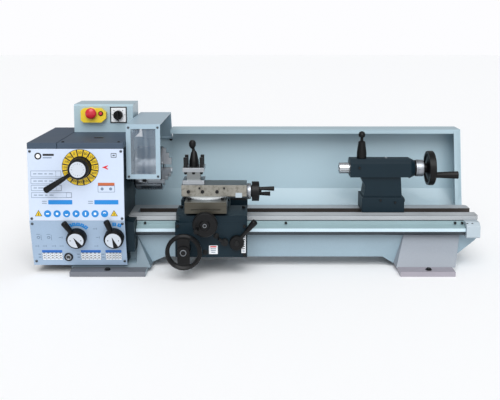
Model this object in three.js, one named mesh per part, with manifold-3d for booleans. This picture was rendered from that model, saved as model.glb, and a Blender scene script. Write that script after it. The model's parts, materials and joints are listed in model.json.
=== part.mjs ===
// A bench metal lathe: bed on two feet, geared headstock with a three-jaw chuck, carriage with
// compound slide, tailstock, leadscrew, chuck guard and splash guard. Millimetres, +Z up,
// +X towards the tailstock, -Y towards the operator.
import * as THREE from 'three';
import { mergeVertices } from 'three/addons/utils/BufferGeometryUtils.js';
import { ConvexGeometry } from 'three/addons/geometries/ConvexGeometry.js';
import Module from 'manifold-3d';

const wasm = await Module();
wasm.setup();

// ---- Driving dimensions -------------------------------------------------------------------
const GAP = 0.3; // clearance between neighbouring pieces
const SHEET = 3; // panels and guards
const FACETS = 20; // sides of a round piece

const WAYS = 150; // height of the bed's ground top
const SPINDLE = WAYS + 125; // spindle axis: half of the 250 mm swing above the ways
const BED_LEFT = -526, BED_RIGHT = 640;
const RAIL_HALF = 67.5, RAIL_BOTTOM = 138, WEB_HALF = 60, WEB_INNER = 48;
const SLOT_FRONT = -22, SLOT_REAR = 24; // the gap between the two ways
const VEE_Y = -48, VEE_HALF = 8, VEE_HEIGHT = 5;
const FOOT_PLATE = 14, FOOT_HALF = 149, FOOT_BOLT_Y = 130, FOOT_BOLT_RADIUS = 6.5;
const FEET = [
  { plate: [-501, -293], top: [-520, -330], bolt: -400 },
  { plate: [407, 558], top: [432, 590], bolt: 488 },
];

const HEAD_RIGHT = -347, HEAD_SEAM = -526, HEAD_LEFT = -606; // headstock, end cover
const HEAD_FRONT = -150, HEAD_BACK = 156, LID_TOP = 372, LID_SKIRT = 16;
const CASE_LEFT = -520, CASE_RIGHT = -350, CASE_BACK = 60, CASE_TOP = 352;
const PANEL_SPLIT = 158, PANEL_FOOT = 24, PANEL_LEAN = 32; // the lower panel leans back

const LEADSCREW = { y: -80, z: 107, radius: 8 };
const RACK_PITCH_LINE = 119;
const MODULE_HEAD = 3, MODULE_RACK = 3, MODULE_APRON = 2;
const TEETH = { bull: 32, input: 20, spindle: 26, idlerA: 16, idlerB: 24, screw: 28, rack: 18,
  apronWheel: 28, apronPinion: 14 };
const SHAFT_BELOW_SPINDLE = MODULE_HEAD * (TEETH.bull + TEETH.input) / 2;
const INPUT_PULLEY = 34, MOTOR_PULLEY = 26, MOTOR_RADIUS = 52;
const INPUT_AXIS = [0, SPINDLE - SHAFT_BELOW_SPINDLE]; // [y, z]
const MOTOR_AXIS = [116, 205];

const CHUCK_RADIUS = 62.5, CHUCK_BACK = -335.5, CHUCK_FACE = -256;
const JAW_WIDTH = 13.4, JAW_ANGLES = [90, 210, 330], KEY_ANGLES = [204, 324, 84];

const CARRIAGE_X = -112; // middle of the saddle
const SADDLE_HALF = 98, SADDLE_TOP = 22, APRON_BOTTOM = -94; // heights above the ways
const CROSS_X = -14; // cross slide, from the middle of the saddle
const COMPOUND_Y = -82;
const TAILSTOCK_X = 376.5;

// ---- Finishes -----------------------------------------------------------------------------
const FINISHES = {
  paleBluePaint: { color: 0x9db9cd, roughness: 0.45, metalness: 0.1 },
  panelWhite: { color: 0xd5e0f0, roughness: 0.4, metalness: 0.1 },
  panelBlueGrey: { color: 0x9db1c5, roughness: 0.45, metalness: 0.1 },
  lidGrey: { color: 0x4a5d72, roughness: 0.5, metalness: 0.1 },
  darkTealPaint: { color: 0x2b3f4a, roughness: 0.5, metalness: 0.1 },
  castPaint: { color: 0x9eb6c4, roughness: 0.55, metalness: 0.1 },
  groundSteel: { color: 0x9a9ea2, roughness: 0.3, metalness: 1 },
  brightSteel: { color: 0xb9bcc0, roughness: 0.2, metalness: 1 },
  rawIron: { color: 0x585a52, roughness: 0.6, metalness: 0.8 },
  blackPlastic: { color: 0x1c1f22, roughness: 0.4, metalness: 0 },
  motorPaint: { color: 0x4b5a66, roughness: 0.5, metalness: 0.2 },
  beltRubber: { color: 0x161616, roughness: 0.8, metalness: 0 },
  bronze: { color: 0xa77b3c, roughness: 0.4, metalness: 1 },
  yellowPlastic: { color: 0xe1c828, roughness: 0.4, metalness: 0 },
  redPlastic: { color: 0xc01f2c, roughness: 0.35, metalness: 0 },
  switchWhite: { color: 0xe8ebee, roughness: 0.4, metalness: 0 },
  clearWindow: { color: 0xcfdde4, roughness: 0.1, metalness: 0, transparent: true, opacity: 0.35 },
};

// ---- Joining, cutting and placing ---------------------------------------------------------
function solidOf(geometry) {
  const bare = geometry.clone();
  bare.deleteAttribute('normal');
  bare.deleteAttribute('uv');
  const merged = mergeVertices(bare, 1e-4);
  const corners = merged.index.array;
  const kept = [];
  for (let i = 0; i < corners.length; i += 3) {
    const [a, b, c] = corners.slice(i, i + 3);
    if (a !== b && b !== c && c !== a) kept.push(a, b, c);
  }
  const vertProperties = new Float32Array(merged.attributes.position.array);
  const made = new wasm.Manifold(new wasm.Mesh({
    numProp: 3, vertProperties, triVerts: new Uint32Array(kept),
  }));
  if (made.volume() > 0) return made;
  return new wasm.Manifold(new wasm.Mesh({
    numProp: 3, vertProperties, triVerts: new Uint32Array(kept.reverse()),
  }));
}

function geometryOf(solid) {
  const mesh = solid.getMesh();
  const geometry = new THREE.BufferGeometry();
  geometry.setAttribute('position', new THREE.BufferAttribute(mesh.vertProperties, 3));
  geometry.setIndex(new THREE.BufferAttribute(mesh.triVerts, 1));
  return geometry;
}

const join = (...pieces) => geometryOf(pieces.map(solidOf).reduce((all, piece) => all.add(piece)));
const cut = (piece, ...tools) =>
  geometryOf(tools.map(solidOf).reduce((left, tool) => left.subtract(tool), solidOf(piece)));

// Ways to face a shape that is drawn in its own x and y and rises along its own z.
const basis = (x, y, z) => new THREE.Matrix4().makeBasis(
  new THREE.Vector3(...x), new THREE.Vector3(...y), new THREE.Vector3(...z));
const UP = new THREE.Matrix4();
const RIGHT = basis([0, 1, 0], [0, 0, 1], [1, 0, 0]); // own z along +X, own x along +Y
const FRONT = basis([1, 0, 0], [0, 0, 1], [0, -1, 0]); // own z along -Y, own x along +X

const moved = (geometry, [x, y, z], facing = UP) =>
  geometry.clone().applyMatrix4(facing).translate(x, y, z);

function add(group, name, geometry, finish, place = [0, 0, 0], facing = UP) {
  const shaded = geometryOf(solidOf(geometry)).toNonIndexed();
  shaded.computeVertexNormals();
  const mesh = new THREE.Mesh(shaded, new THREE.MeshStandardMaterial(FINISHES[finish]));
  mesh.name = name;
  mesh.position.set(...place);
  mesh.quaternion.setFromRotationMatrix(facing);
  group.add(mesh);
  return mesh;
}

// ---- Shapes -------------------------------------------------------------------------------
const radians = THREE.MathUtils.degToRad;
const block = ([x0, x1], [y0, y1], [z0, z1]) =>
  new THREE.BoxGeometry(x1 - x0, y1 - y0, z1 - z0)
    .translate((x0 + x1) / 2, (y0 + y1) / 2, (z0 + z1) / 2);

function prism(outline, low, high) {
  const shape = new THREE.Shape(outline.map(([x, y]) => new THREE.Vector2(x, y)));
  return new THREE.ExtrudeGeometry(shape, { depth: high - low, bevelEnabled: false })
    .translate(0, 0, low);
}
const alongX = (outlineYZ, x0, x1) => prism(outlineYZ, x0, x1).applyMatrix4(RIGHT);
const alongY = (outlineXZ, y0, y1) => prism(outlineXZ, -y1, -y0).applyMatrix4(FRONT);

// A closed outline of [radius, height] points turned about z; its ends fall on the axis.
function turned(profile, sides = FACETS) {
  const ends = [[0, profile[0][1]], ...profile, [0, profile.at(-1)[1]]];
  return new THREE.LatheGeometry(ends.map(([r, h]) => new THREE.Vector2(r, h)), sides)
    .rotateX(Math.PI / 2);
}
function turnedRing(profile, sides = FACETS) {
  const closed = [...profile, profile[0]];
  return new THREE.LatheGeometry(closed.map(([r, h]) => new THREE.Vector2(r, h)), sides)
    .rotateX(Math.PI / 2);
}
const rod = (radius, low, high, sides = FACETS) =>
  turned([[radius, low], [radius, high]], sides);
const ring = (inner, outer, low, high, sides = FACETS) =>
  turnedRing([[inner, low], [outer, low], [outer, high], [inner, high]], sides);

// A bar between two points, round and tapered from one radius to the other.
function bar(from, to, radiusFrom, radiusTo, sides = 10) {
  const start = new THREE.Vector3(...from);
  const way = new THREE.Vector3(...to).sub(start);
  const turn = new THREE.Quaternion()
    .setFromUnitVectors(new THREE.Vector3(0, 0, 1), way.clone().normalize());
  return turned([[radiusFrom, 0], [radiusTo, way.length()]], sides)
    .applyQuaternion(turn).translate(...from);
}

// The points of a sheet folded along a line of [across, up] corners, half its thickness each side.
function folded(line, thickness) {
  const corners = line.map(([x, y]) => new THREE.Vector2(x, y));
  const sides = [[], []];
  corners.forEach((corner, i) => {
    const before = corner.clone().sub(corners[Math.max(i - 1, 0)]).normalize();
    const after = corners[Math.min(i + 1, corners.length - 1)].clone().sub(corner).normalize();
    const along = before.add(after).normalize();
    const straight = i === 0 || i === corners.length - 1;
    const lean = straight ? 1 : Math.abs(along.dot(after));
    const out = new THREE.Vector2(-along.y, along.x).multiplyScalar(thickness / 2 / lean);
    sides[0].push(corner.clone().add(out).toArray());
    sides[1].unshift(corner.clone().sub(out).toArray());
  });
  return [...sides[0], ...sides[1]];
}

// The convex plate around circles [x, y, radius], between two heights.
function linkPlate(circles, low, high, sides = 16) {
  const points = [];
  for (const [x, y, radius] of circles)
    for (let i = 0; i < sides; i++) {
      const angle = 2 * Math.PI * i / sides;
      for (const height of [low, high])
        points.push(new THREE.Vector3(
          x + radius * Math.cos(angle), y + radius * Math.sin(angle), height));
    }
  return new ConvexGeometry(points);
}

// A spur gear with straight-flanked teeth; phase is the angle of one tooth's middle.
const ADDENDUM = 0.7, DEDENDUM = 0.95;
function gear(module, teeth, low, high, bore, phase = 0) {
  const pitch = module * teeth / 2;
  const outside = pitch + ADDENDUM * module, root = pitch - DEDENDUM * module;
  const half = Math.PI / teeth / 2;
  const outline = [];
  for (let i = 0; i < teeth; i++) {
    const middle = phase + 2 * Math.PI * i / teeth;
    for (const [radius, offset] of [[root, -1.25], [outside, -0.45], [outside, 0.45], [root, 1.25]])
      outline.push([radius * Math.cos(middle + offset * half),
        radius * Math.sin(middle + offset * half)]);
  }
  const body = prism(outline, low, high);
  return bore > 0 ? cut(body, rod(bore, low - 1, high + 1)) : body;
}
// The phase that puts a gear's gap opposite the tooth of the gear it meshes with.
const meshPhase = (way, teethA, phaseA, teethB) =>
  way + Math.PI - teethA / teethB * (phaseA - way) - Math.PI / teethB;
const angleTo = ([ax, ay], [bx, by]) => Math.atan2(by - ay, bx - ax);
// Where a gear meshes with two others: the corner of a triangle with known sides.
function cornerBetween([ax, ay], reachA, [bx, by], reachB) {
  const base = Math.hypot(bx - ax, by - ay);
  const along = (base * base + reachA * reachA - reachB * reachB) / (2 * base);
  const off = Math.sqrt(reachA * reachA - along * along);
  const ux = (bx - ax) / base, uy = (by - ay) / base;
  return [ax + along * ux + off * uy, ay + along * uy - off * ux];
}

// ---- Bed ----------------------------------------------------------------------------------
function makeBed() {
  const group = new THREE.Group();
  const archLeft = -249, archRight = 371, archTop = 30;
  const side = [[BED_LEFT, RAIL_BOTTOM + 1], [BED_LEFT, 80], [-490, 40], [-485, 8], [-293, 8],
    [-286, 14], [archLeft, archTop], [archRight, archTop], [398, 14], [407, 8], [568, 8],
    [582, 36], [632, 77], [BED_RIGHT - 2, 84], [BED_RIGHT - 2, RAIL_BOTTOM + 1]];
  const flares = FEET.map(({ plate, top }) => {
    const [x0, x1] = plate, [t0, t1] = top;
    const corners = [];
    for (const s of [-1, 1])
      corners.push([x0 - 4, s * 108, 13], [x1 + 10, s * 108, 13], [t0, s * WEB_HALF, 100],
        [t1, s * WEB_HALF, 100]);
    return new ConvexGeometry(corners.map((c) => new THREE.Vector3(...c)));
  });
  const plates = FEET.map(({ plate }) => block(plate, [-FOOT_HALF, FOOT_HALF], [0, FOOT_PLATE]));
  const bevel = 9;
  const railPlan = [[BED_LEFT, -RAIL_HALF], [BED_RIGHT - bevel, -RAIL_HALF],
    [BED_RIGHT, -RAIL_HALF + bevel], [BED_RIGHT, RAIL_HALF - bevel],
    [BED_RIGHT - bevel, RAIL_HALF], [BED_LEFT, RAIL_HALF]];
  const rails = prism(railPlan, RAIL_BOTTOM, WAYS);
  const vee = alongX([[VEE_Y - VEE_HALF, WAYS - 1], [VEE_Y + VEE_HALF, WAYS - 1],
    [VEE_Y + VEE_HALF, WAYS], [VEE_Y, WAYS + VEE_HEIGHT], [VEE_Y - VEE_HALF, WAYS]],
  CASE_RIGHT + 6, BED_RIGHT - bevel);
  const ribs = [-300, -75, 150, 375];
  const ribHalf = 7;
  const pocketEnds = [-470, ...ribs.flatMap((x) => [x - ribHalf, x + ribHalf]), 560];
  const pockets = [];
  for (let i = 0; i < pocketEnds.length; i += 2)
    pockets.push(block([pocketEnds[i], pocketEnds[i + 1]], [-WEB_INNER, WEB_INNER], [-1, 113]));
  const gallery = block([-330, BED_RIGHT - 20], [-WEB_INNER, WEB_INNER], [112, RAIL_BOTTOM]);
  const slot = block([-330, BED_RIGHT + 1], [SLOT_FRONT, SLOT_REAR], [112, WAYS + 1]);
  const holes = FEET.flatMap(({ bolt }) => [-1, 1].map((s) =>
    moved(rod(FOOT_BOLT_RADIUS, -1, FOOT_PLATE + 1, 12), [bolt, s * FOOT_BOLT_Y, 0])));
  const gearboxRoom = block([BED_LEFT - 4, -324], [-160, -WEB_HALF], [PANEL_FOOT, WAYS + 10]);
  const [leftFlare, rightFlare] = flares;
  const casting = join(alongY(side, -WEB_HALF, WEB_HALF), cut(leftFlare, gearboxRoom),
    rightFlare, ...plates, rails, vee);
  add(group, 'bed', cut(casting, ...pockets, gallery, slot, ...holes), 'castPaint');

  const pitch = Math.PI * MODULE_RACK, teeth = 48;
  const first = CARRIAGE_X - 30.4 - 15.5 * pitch; // a gap stands over the rack pinion
  const root = RACK_PITCH_LINE + DEDENDUM * MODULE_RACK;
  const tip = RACK_PITCH_LINE - ADDENDUM * MODULE_RACK;
  const outline = [[first - pitch / 2, 131]];
  for (let i = 0; i < teeth; i++) {
    const x = first + i * pitch;
    outline.push([x - 0.32 * pitch, root], [x - 0.12 * pitch, tip], [x + 0.12 * pitch, tip],
      [x + 0.32 * pitch, root]);
  }
  outline.push([first + (teeth - 0.5) * pitch, 131]);
  add(group, 'rack', alongY(outline, -70.9, -WEB_HALF - GAP), 'groundSteel');

  const coverLine = [[-72, 137], [-72, 127], [-92, 120], [-92, 111]];
  add(group, 'leadscrew_cover', alongX(folded(coverLine, 1.5), -325, 598), 'paleBluePaint');

  const bracket = alongX([[-100, 98], [-96, 94], [-WEB_HALF - GAP, 94], [-WEB_HALF - GAP, 137.5],
    [-88, 137.5], [-100, 128]], 598.4, 637);
  const bracketBore = moved(rod(LEADSCREW.radius + 0.5, 590, 645), [0, LEADSCREW.y, LEADSCREW.z],
    RIGHT);
  add(group, 'leadscrew_bracket', cut(bracket, bracketBore), 'panelWhite');
  return group;
}

// ---- Headstock ----------------------------------------------------------------------------
const bearingHole = (radius, [y, z], x0, x1) => moved(rod(radius, x0, x1), [0, y, z], RIGHT);
const panelY = (z) => HEAD_FRONT + PANEL_LEAN * (PANEL_SPLIT - z) / (PANEL_SPLIT - PANEL_FOOT);
const SPEED_LEVER = [-463.5, 305];
const FEED_LEVERS = [
  { name: 'feed_lever_left', x: -479, z: 111, reach: [-31, 53] },
  { name: 'feed_lever_right', x: -377, z: 111, reach: [-17, 58] },
];
const leanAngle = Math.atan2(PANEL_LEAN, PANEL_SPLIT - PANEL_FOOT);
const LEANING_FRONT = basis([1, 0, 0], [0, -Math.sin(leanAngle), Math.cos(leanAngle)],
  [0, -Math.cos(leanAngle), -Math.sin(leanAngle)]);

function makeHeadstock() {
  const group = new THREE.Group();
  const caseFront = HEAD_FRONT + SHEET + GAP;
  const wall = 8;
  const leverBore = moved(rod(5.5, -30, 30, 12), [SPEED_LEVER[0], HEAD_FRONT, SPEED_LEVER[1]],
    FRONT);
  const outside = block([CASE_LEFT, CASE_RIGHT], [caseFront, CASE_BACK], [WAYS + GAP, CASE_TOP]);
  const inside = block([CASE_LEFT + 12, CASE_RIGHT - 12], [caseFront + wall, CASE_BACK - wall],
    [WAYS + 10, CASE_TOP + 1]);
  const panelRoom = block([CASE_LEFT - 1, CASE_RIGHT + 1], [HEAD_FRONT, caseFront + 2],
    [WAYS - 1, PANEL_SPLIT]);
  add(group, 'headstock_casting', cut(outside, inside, panelRoom,
    bearingHole(40, [0, SPINDLE], CASE_LEFT - 5, CASE_RIGHT + 5),
    bearingHole(10.6, INPUT_AXIS, CASE_LEFT - 5, CASE_LEFT + 20), leverBore), 'darkTealPaint');

  const lidX = [HEAD_SEAM + 0.5, HEAD_RIGHT], lidY = [HEAD_FRONT, HEAD_BACK];
  const lid = block(lidX, lidY, [LID_TOP - LID_SKIRT, LID_TOP]);
  const lidInside = block([lidX[0] + SHEET, lidX[1] - SHEET], [lidY[0] + SHEET, lidY[1] - SHEET],
    [LID_TOP - LID_SKIRT - 1, LID_TOP - SHEET]);
  add(group, 'headstock_lid', cut(lid, lidInside), 'lidGrey');

  const upper = block([HEAD_LEFT, HEAD_RIGHT], [HEAD_FRONT, HEAD_FRONT + SHEET],
    [PANEL_SPLIT, LID_TOP - LID_SKIRT - GAP]);
  add(group, 'front_panel', cut(upper, leverBore), 'panelWhite');

  const top = PANEL_SPLIT - GAP;
  const lower = alongX([[panelY(top), top], [panelY(PANEL_FOOT), PANEL_FOOT],
    [panelY(PANEL_FOOT) + SHEET, PANEL_FOOT], [panelY(top) + SHEET, top]], HEAD_LEFT, HEAD_RIGHT);
  const lowerBores = FEED_LEVERS.map(({ x, z }) =>
    moved(rod(5.5, -8, 6, 12), [x, panelY(z), z], LEANING_FRONT));
  add(group, 'feed_panel', cut(lower, ...lowerBores), 'panelBlueGrey');

  const boxTop = WAYS, boxFoot = 28, back = -WEB_HALF - GAP;
  const front = (z, inset) => panelY(z) + SHEET + 0.5 + inset;
  const underRail = RAIL_BOTTOM - GAP, beforeRail = -RAIL_HALF - GAP;
  const housing = alongX([[front(boxTop, 0), boxTop], [front(boxFoot, 0), boxFoot],
    [back, boxFoot], [back, underRail], [beforeRail, underRail], [beforeRail, boxTop]],
  HEAD_SEAM + 1, HEAD_RIGHT - GAP);
  const hollow = alongX([[front(boxTop - wall, wall), boxTop - wall],
    [front(boxFoot + wall, wall), boxFoot + wall], [back + 1, boxFoot + wall],
    [back + 1, underRail - wall], [beforeRail - wall, underRail - wall],
    [beforeRail - wall, boxTop - wall]], HEAD_SEAM + 10, HEAD_RIGHT - 10);
  const boss = alongX([[-126, 148], [-112, 60], [back, 60], [back, underRail],
    [beforeRail, underRail], [beforeRail, 148]], HEAD_RIGHT - 1, -326);
  const leverClearance = FEED_LEVERS.map(({ x, z }) =>
    moved(rod(5.5, -30, 6, 12), [x, panelY(z), z], LEANING_FRONT));
  add(group, 'feed_gearbox', cut(join(housing, boss), hollow,
    bearingHole(LEADSCREW.radius + 0.5, [LEADSCREW.y, LEADSCREW.z], HEAD_SEAM - 5, -320),
    ...leverClearance), 'darkTealPaint');

  const cover = alongX([[HEAD_FRONT, LID_TOP], [HEAD_BACK, LID_TOP], [HEAD_BACK, PANEL_FOOT],
    [panelY(PANEL_FOOT) + SHEET + 0.5, PANEL_FOOT], [HEAD_FRONT + SHEET + 0.5, PANEL_SPLIT],
    [HEAD_FRONT + SHEET + 0.5, LID_TOP - LID_SKIRT], [HEAD_FRONT, LID_TOP - LID_SKIRT]],
  HEAD_LEFT, HEAD_SEAM - GAP);
  const coverInside = alongX([[HEAD_FRONT + SHEET, LID_TOP - SHEET],
    [HEAD_BACK - SHEET, LID_TOP - SHEET], [HEAD_BACK - SHEET, 20], [-200, 20],
    [-200, LID_TOP - LID_SKIRT], [HEAD_FRONT + SHEET, LID_TOP - LID_SKIRT]],
  HEAD_LEFT + SHEET, HEAD_SEAM + 5);
  add(group, 'end_cover', cut(cover, coverInside), 'lidGrey');
  return group;
}

function makeElectrics() {
  const group = new THREE.Group();
  const x = [-523, CASE_RIGHT], y = [49, 154], z = [LID_TOP + GAP, 455];
  const bevel = 5;
  const outline = [[y[0], z[0]], [y[1], z[0]], [y[1], z[1]], [y[0] + bevel, z[1]],
    [y[0], z[1] - bevel]];
  const hollow = block([x[0] + SHEET, x[1] - SHEET], [y[0] + SHEET, y[1] - SHEET],
    [z[0] - 1, z[1] - SHEET - bevel]);
  const estop = [-468, 431], knob = [-392, 424.3];
  const bores = [estop, knob].map(([u, w]) => moved(rod(6.5, -10, 10, 12), [u, y[0], w], FRONT));
  add(group, 'electrical_box', cut(alongX(outline, ...x), hollow, ...bores), 'paleBluePaint');

  const housing = prism([[-500, 410], [-492, 403], [-440, 403], [-426, 415], [-426, 433],
    [-440, 445], [-492, 445], [-500, 438]], GAP, 18);
  add(group, 'estop_housing', cut(housing, moved(rod(6.5, -5, 25, 12), [...estop, 0])),
    'yellowPlastic', [0, y[0], 0], FRONT);
  const mushroom = turned([[5, -12], [5, 22], [15, 24], [16, 30], [12, 35], [5, 37]], 16);
  add(group, 'estop_button', mushroom, 'redPlastic', [estop[0], y[0], estop[1]], FRONT);

  const plate = block([-24.5, 24.5], [-24.3, 24.3], [GAP, 3]);
  add(group, 'switch_plate', cut(plate, rod(6.5, -1, 5, 12)), 'switchWhite',
    [knob[0], y[0], knob[1]], FRONT);
  const grip = join(rod(13.5, 3.4, 16, 20), block([-3, 3], [-15, 12], [15, 22]),
    rod(5, -12, 4, 12));
  add(group, 'switch_knob', grip, 'blackPlastic', [knob[0], y[0], knob[1]], FRONT);
  return group;
}

function makeControls() {
  const group = new THREE.Group();
  const tip = [-91.5, -59];
  const speed = join(rod(28, 0.4, 34), rod(5, -26, 1, 12),
    bar([0, 0, 24], [tip[0] * 0.45, tip[1] * 0.45, 26], 6, 6),
    bar([tip[0] * 0.4, tip[1] * 0.4, 26], [...tip, 28], 7, 9));
  add(group, 'speed_lever', speed, 'blackPlastic',
    [SPEED_LEVER[0], HEAD_FRONT, SPEED_LEVER[1]], FRONT);
  for (const { name, x, z, reach } of FEED_LEVERS) {
    const lever = join(rod(27, 0.6, 24), rod(5, -20, 1, 12),
      bar([reach[0] * 0.3, reach[1] * 0.3, 14], [...reach, 18], 7, 8.5));
    add(group, name, lever, 'blackPlastic', [x, panelY(z), z], LEANING_FRONT);
  }
  return group;
}

// ---- Spindle, chuck and the gears behind the end cover -------------------------------------
function makeSpindle() {
  const group = new THREE.Group();
  for (const [name, x] of [['rear_bearing', CASE_LEFT + 1], ['front_bearing', CASE_RIGHT - 13]])
    add(group, name, ring(22.4, 39.6, 0, 12), 'brightSteel', [x, 0, SPINDLE], RIGHT);
  add(group, 'spindle', turnedRing([[13, -584], [15, -584], [15, -545], [22, -545], [22, -349],
    [40, -349], [40, -336], [13, -336]]), 'brightSteel', [0, 0, SPINDLE], RIGHT);
  add(group, 'bull_gear', gear(MODULE_HEAD, TEETH.bull, -440, -420, 22.4), 'groundSteel',
    [0, 0, SPINDLE], RIGHT);
  add(group, 'spindle_gear', gear(MODULE_HEAD, TEETH.spindle, -580, -566, 15.4), 'groundSteel',
    [0, 0, SPINDLE], RIGHT);

  const scrollBack = -312, scrollFront = -296;
  const body = turnedRing([[16, CHUCK_BACK], [58, CHUCK_BACK], [CHUCK_RADIUS, CHUCK_BACK + 5],
    [CHUCK_RADIUS, CHUCK_FACE - 3], [CHUCK_RADIUS - 3, CHUCK_FACE], [16, CHUCK_FACE]], 30);
  const scrollRoom = ring(15, 52, scrollBack, scrollFront + 0.1, 24);
  const slotHalf = JAW_WIDTH / 2 + GAP;
  const slots = JAW_ANGLES.map((angle) =>
    block([5, 70], [-slotHalf, slotHalf], [scrollFront, CHUCK_FACE + 1]).rotateZ(radians(angle)));
  const keys = KEY_ANGLES.map((angle) =>
    moved(rod(7, 53, 70, 10), [0, 0, -304], RIGHT).rotateZ(radians(angle)));
  add(group, 'chuck_body', cut(body, scrollRoom, ...slots, ...keys), 'brightSteel',
    [0, 0, SPINDLE], RIGHT);
  add(group, 'chuck_scroll', ring(20, 51, scrollBack + GAP, scrollFront - GAP, 24),
    'groundSteel', [0, 0, SPINDLE], RIGHT);
  const heel = scrollFront + GAP;
  const jaw = prism([[12, heel], [58, heel], [58, -248], [44, -248], [44, -240], [30, -240],
    [30, -233], [12, -233]], -JAW_WIDTH / 2, JAW_WIDTH / 2).applyMatrix4(
    basis([1, 0, 0], [0, 0, 1], [0, -1, 0]));
  JAW_ANGLES.forEach((angle, i) => add(group, `chuck_jaw_${i + 1}`,
    jaw.clone().rotateZ(radians(angle)), 'groundSteel', [0, 0, SPINDLE], RIGHT));
  return group;
}

const SPINDLE_AXIS = [0, SPINDLE], SCREW_AXIS = [LEADSCREW.y, LEADSCREW.z];
const reachOf = (a, b) => MODULE_HEAD * (TEETH[a] + TEETH[b]) / 2;
const IDLER_A_AXIS = [
  reachOf('spindle', 'idlerA') * Math.cos(radians(235)),
  SPINDLE + reachOf('spindle', 'idlerA') * Math.sin(radians(235))];
const IDLER_B_AXIS = cornerBetween(IDLER_A_AXIS, reachOf('idlerA', 'idlerB'), SCREW_AXIS,
  reachOf('idlerB', 'screw'));

function makeDrive() {
  const group = new THREE.Group();
  const bullPhase = meshPhase(angleTo(SPINDLE_AXIS, INPUT_AXIS), TEETH.bull, 0, TEETH.input);
  add(group, 'input_shaft', join(rod(10, -600, -370, 16),
    gear(MODULE_HEAD, TEETH.input, -440, -420, 0, bullPhase), rod(INPUT_PULLEY, -600, -586)),
  'groundSteel', [0, ...INPUT_AXIS], RIGHT);
  add(group, 'motor_pulley', join(rod(7, -600, CASE_LEFT - 1.5, 12),
    rod(MOTOR_PULLEY, -600, -586)), 'groundSteel', [0, ...MOTOR_AXIS], RIGHT);
  const terminalBox = block([-490, -420], [-28, 28], [45, 68]);
  const foot = block([-500, -380], [CASE_BACK + 0.5 - MOTOR_AXIS[0], -40], [-45, 30]);
  const can = moved(turned([[40, CASE_LEFT], [MOTOR_RADIUS, CASE_LEFT + 8], [MOTOR_RADIUS, -378],
    [44, -360]]), [0, 0, 0], RIGHT);
  add(group, 'motor', join(can, terminalBox, foot), 'motorPaint', [0, ...MOTOR_AXIS]);
  const loop = (extra) => linkPlate([[...INPUT_AXIS, INPUT_PULLEY + extra],
    [...MOTOR_AXIS, MOTOR_PULLEY + extra]], extra > 1 ? -598 : -599, extra > 1 ? -588 : -587, 32);
  add(group, 'drive_belt', cut(loop(5), loop(0.6)), 'beltRubber', [0, 0, 0], RIGHT);

  const gearX = [-580, -566], plateX = [-560, -552];
  const phaseA = meshPhase(angleTo(SPINDLE_AXIS, IDLER_A_AXIS), TEETH.spindle, 0, TEETH.idlerA);
  const phaseB = meshPhase(angleTo(IDLER_A_AXIS, IDLER_B_AXIS), TEETH.idlerA, phaseA,
    TEETH.idlerB);
  const phaseC = meshPhase(angleTo(IDLER_B_AXIS, SCREW_AXIS), TEETH.idlerB, phaseB, TEETH.screw);
  add(group, 'idler_gear_a', gear(MODULE_HEAD, TEETH.idlerA, ...gearX, 8.4, phaseA),
    'groundSteel', [0, ...IDLER_A_AXIS], RIGHT);
  add(group, 'idler_gear_b', gear(MODULE_HEAD, TEETH.idlerB, ...gearX, 8.4, phaseB),
    'groundSteel', [0, ...IDLER_B_AXIS], RIGHT);
  add(group, 'leadscrew_gear', gear(MODULE_HEAD, TEETH.screw, ...gearX, 8.4, phaseC),
    'groundSteel', [0, ...SCREW_AXIS], RIGHT);
  const studs = [IDLER_A_AXIS, IDLER_B_AXIS].map(([y, z]) =>
    rod(8, gearX[0] - 3, plateX[0] + 1, 16).translate(y, z, 0));
  const arm = join(linkPlate([[...IDLER_A_AXIS, 14], [...IDLER_B_AXIS, 14], [...SCREW_AXIS, 16]],
    ...plateX), rod(13, plateX[1] - 1, HEAD_SEAM + 1 - GAP, 16).translate(...SCREW_AXIS, 0),
  ...studs);
  add(group, 'change_gear_arm', cut(arm,
    rod(LEADSCREW.radius + 0.5, plateX[0] - 2, -520, 16).translate(...SCREW_AXIS, 0)),
  'castPaint', [0, 0, 0], RIGHT);
  add(group, 'leadscrew', rod(LEADSCREW.radius, -582, 636, 16), 'groundSteel',
    [0, ...SCREW_AXIS], RIGHT);
  return group;
}

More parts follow.
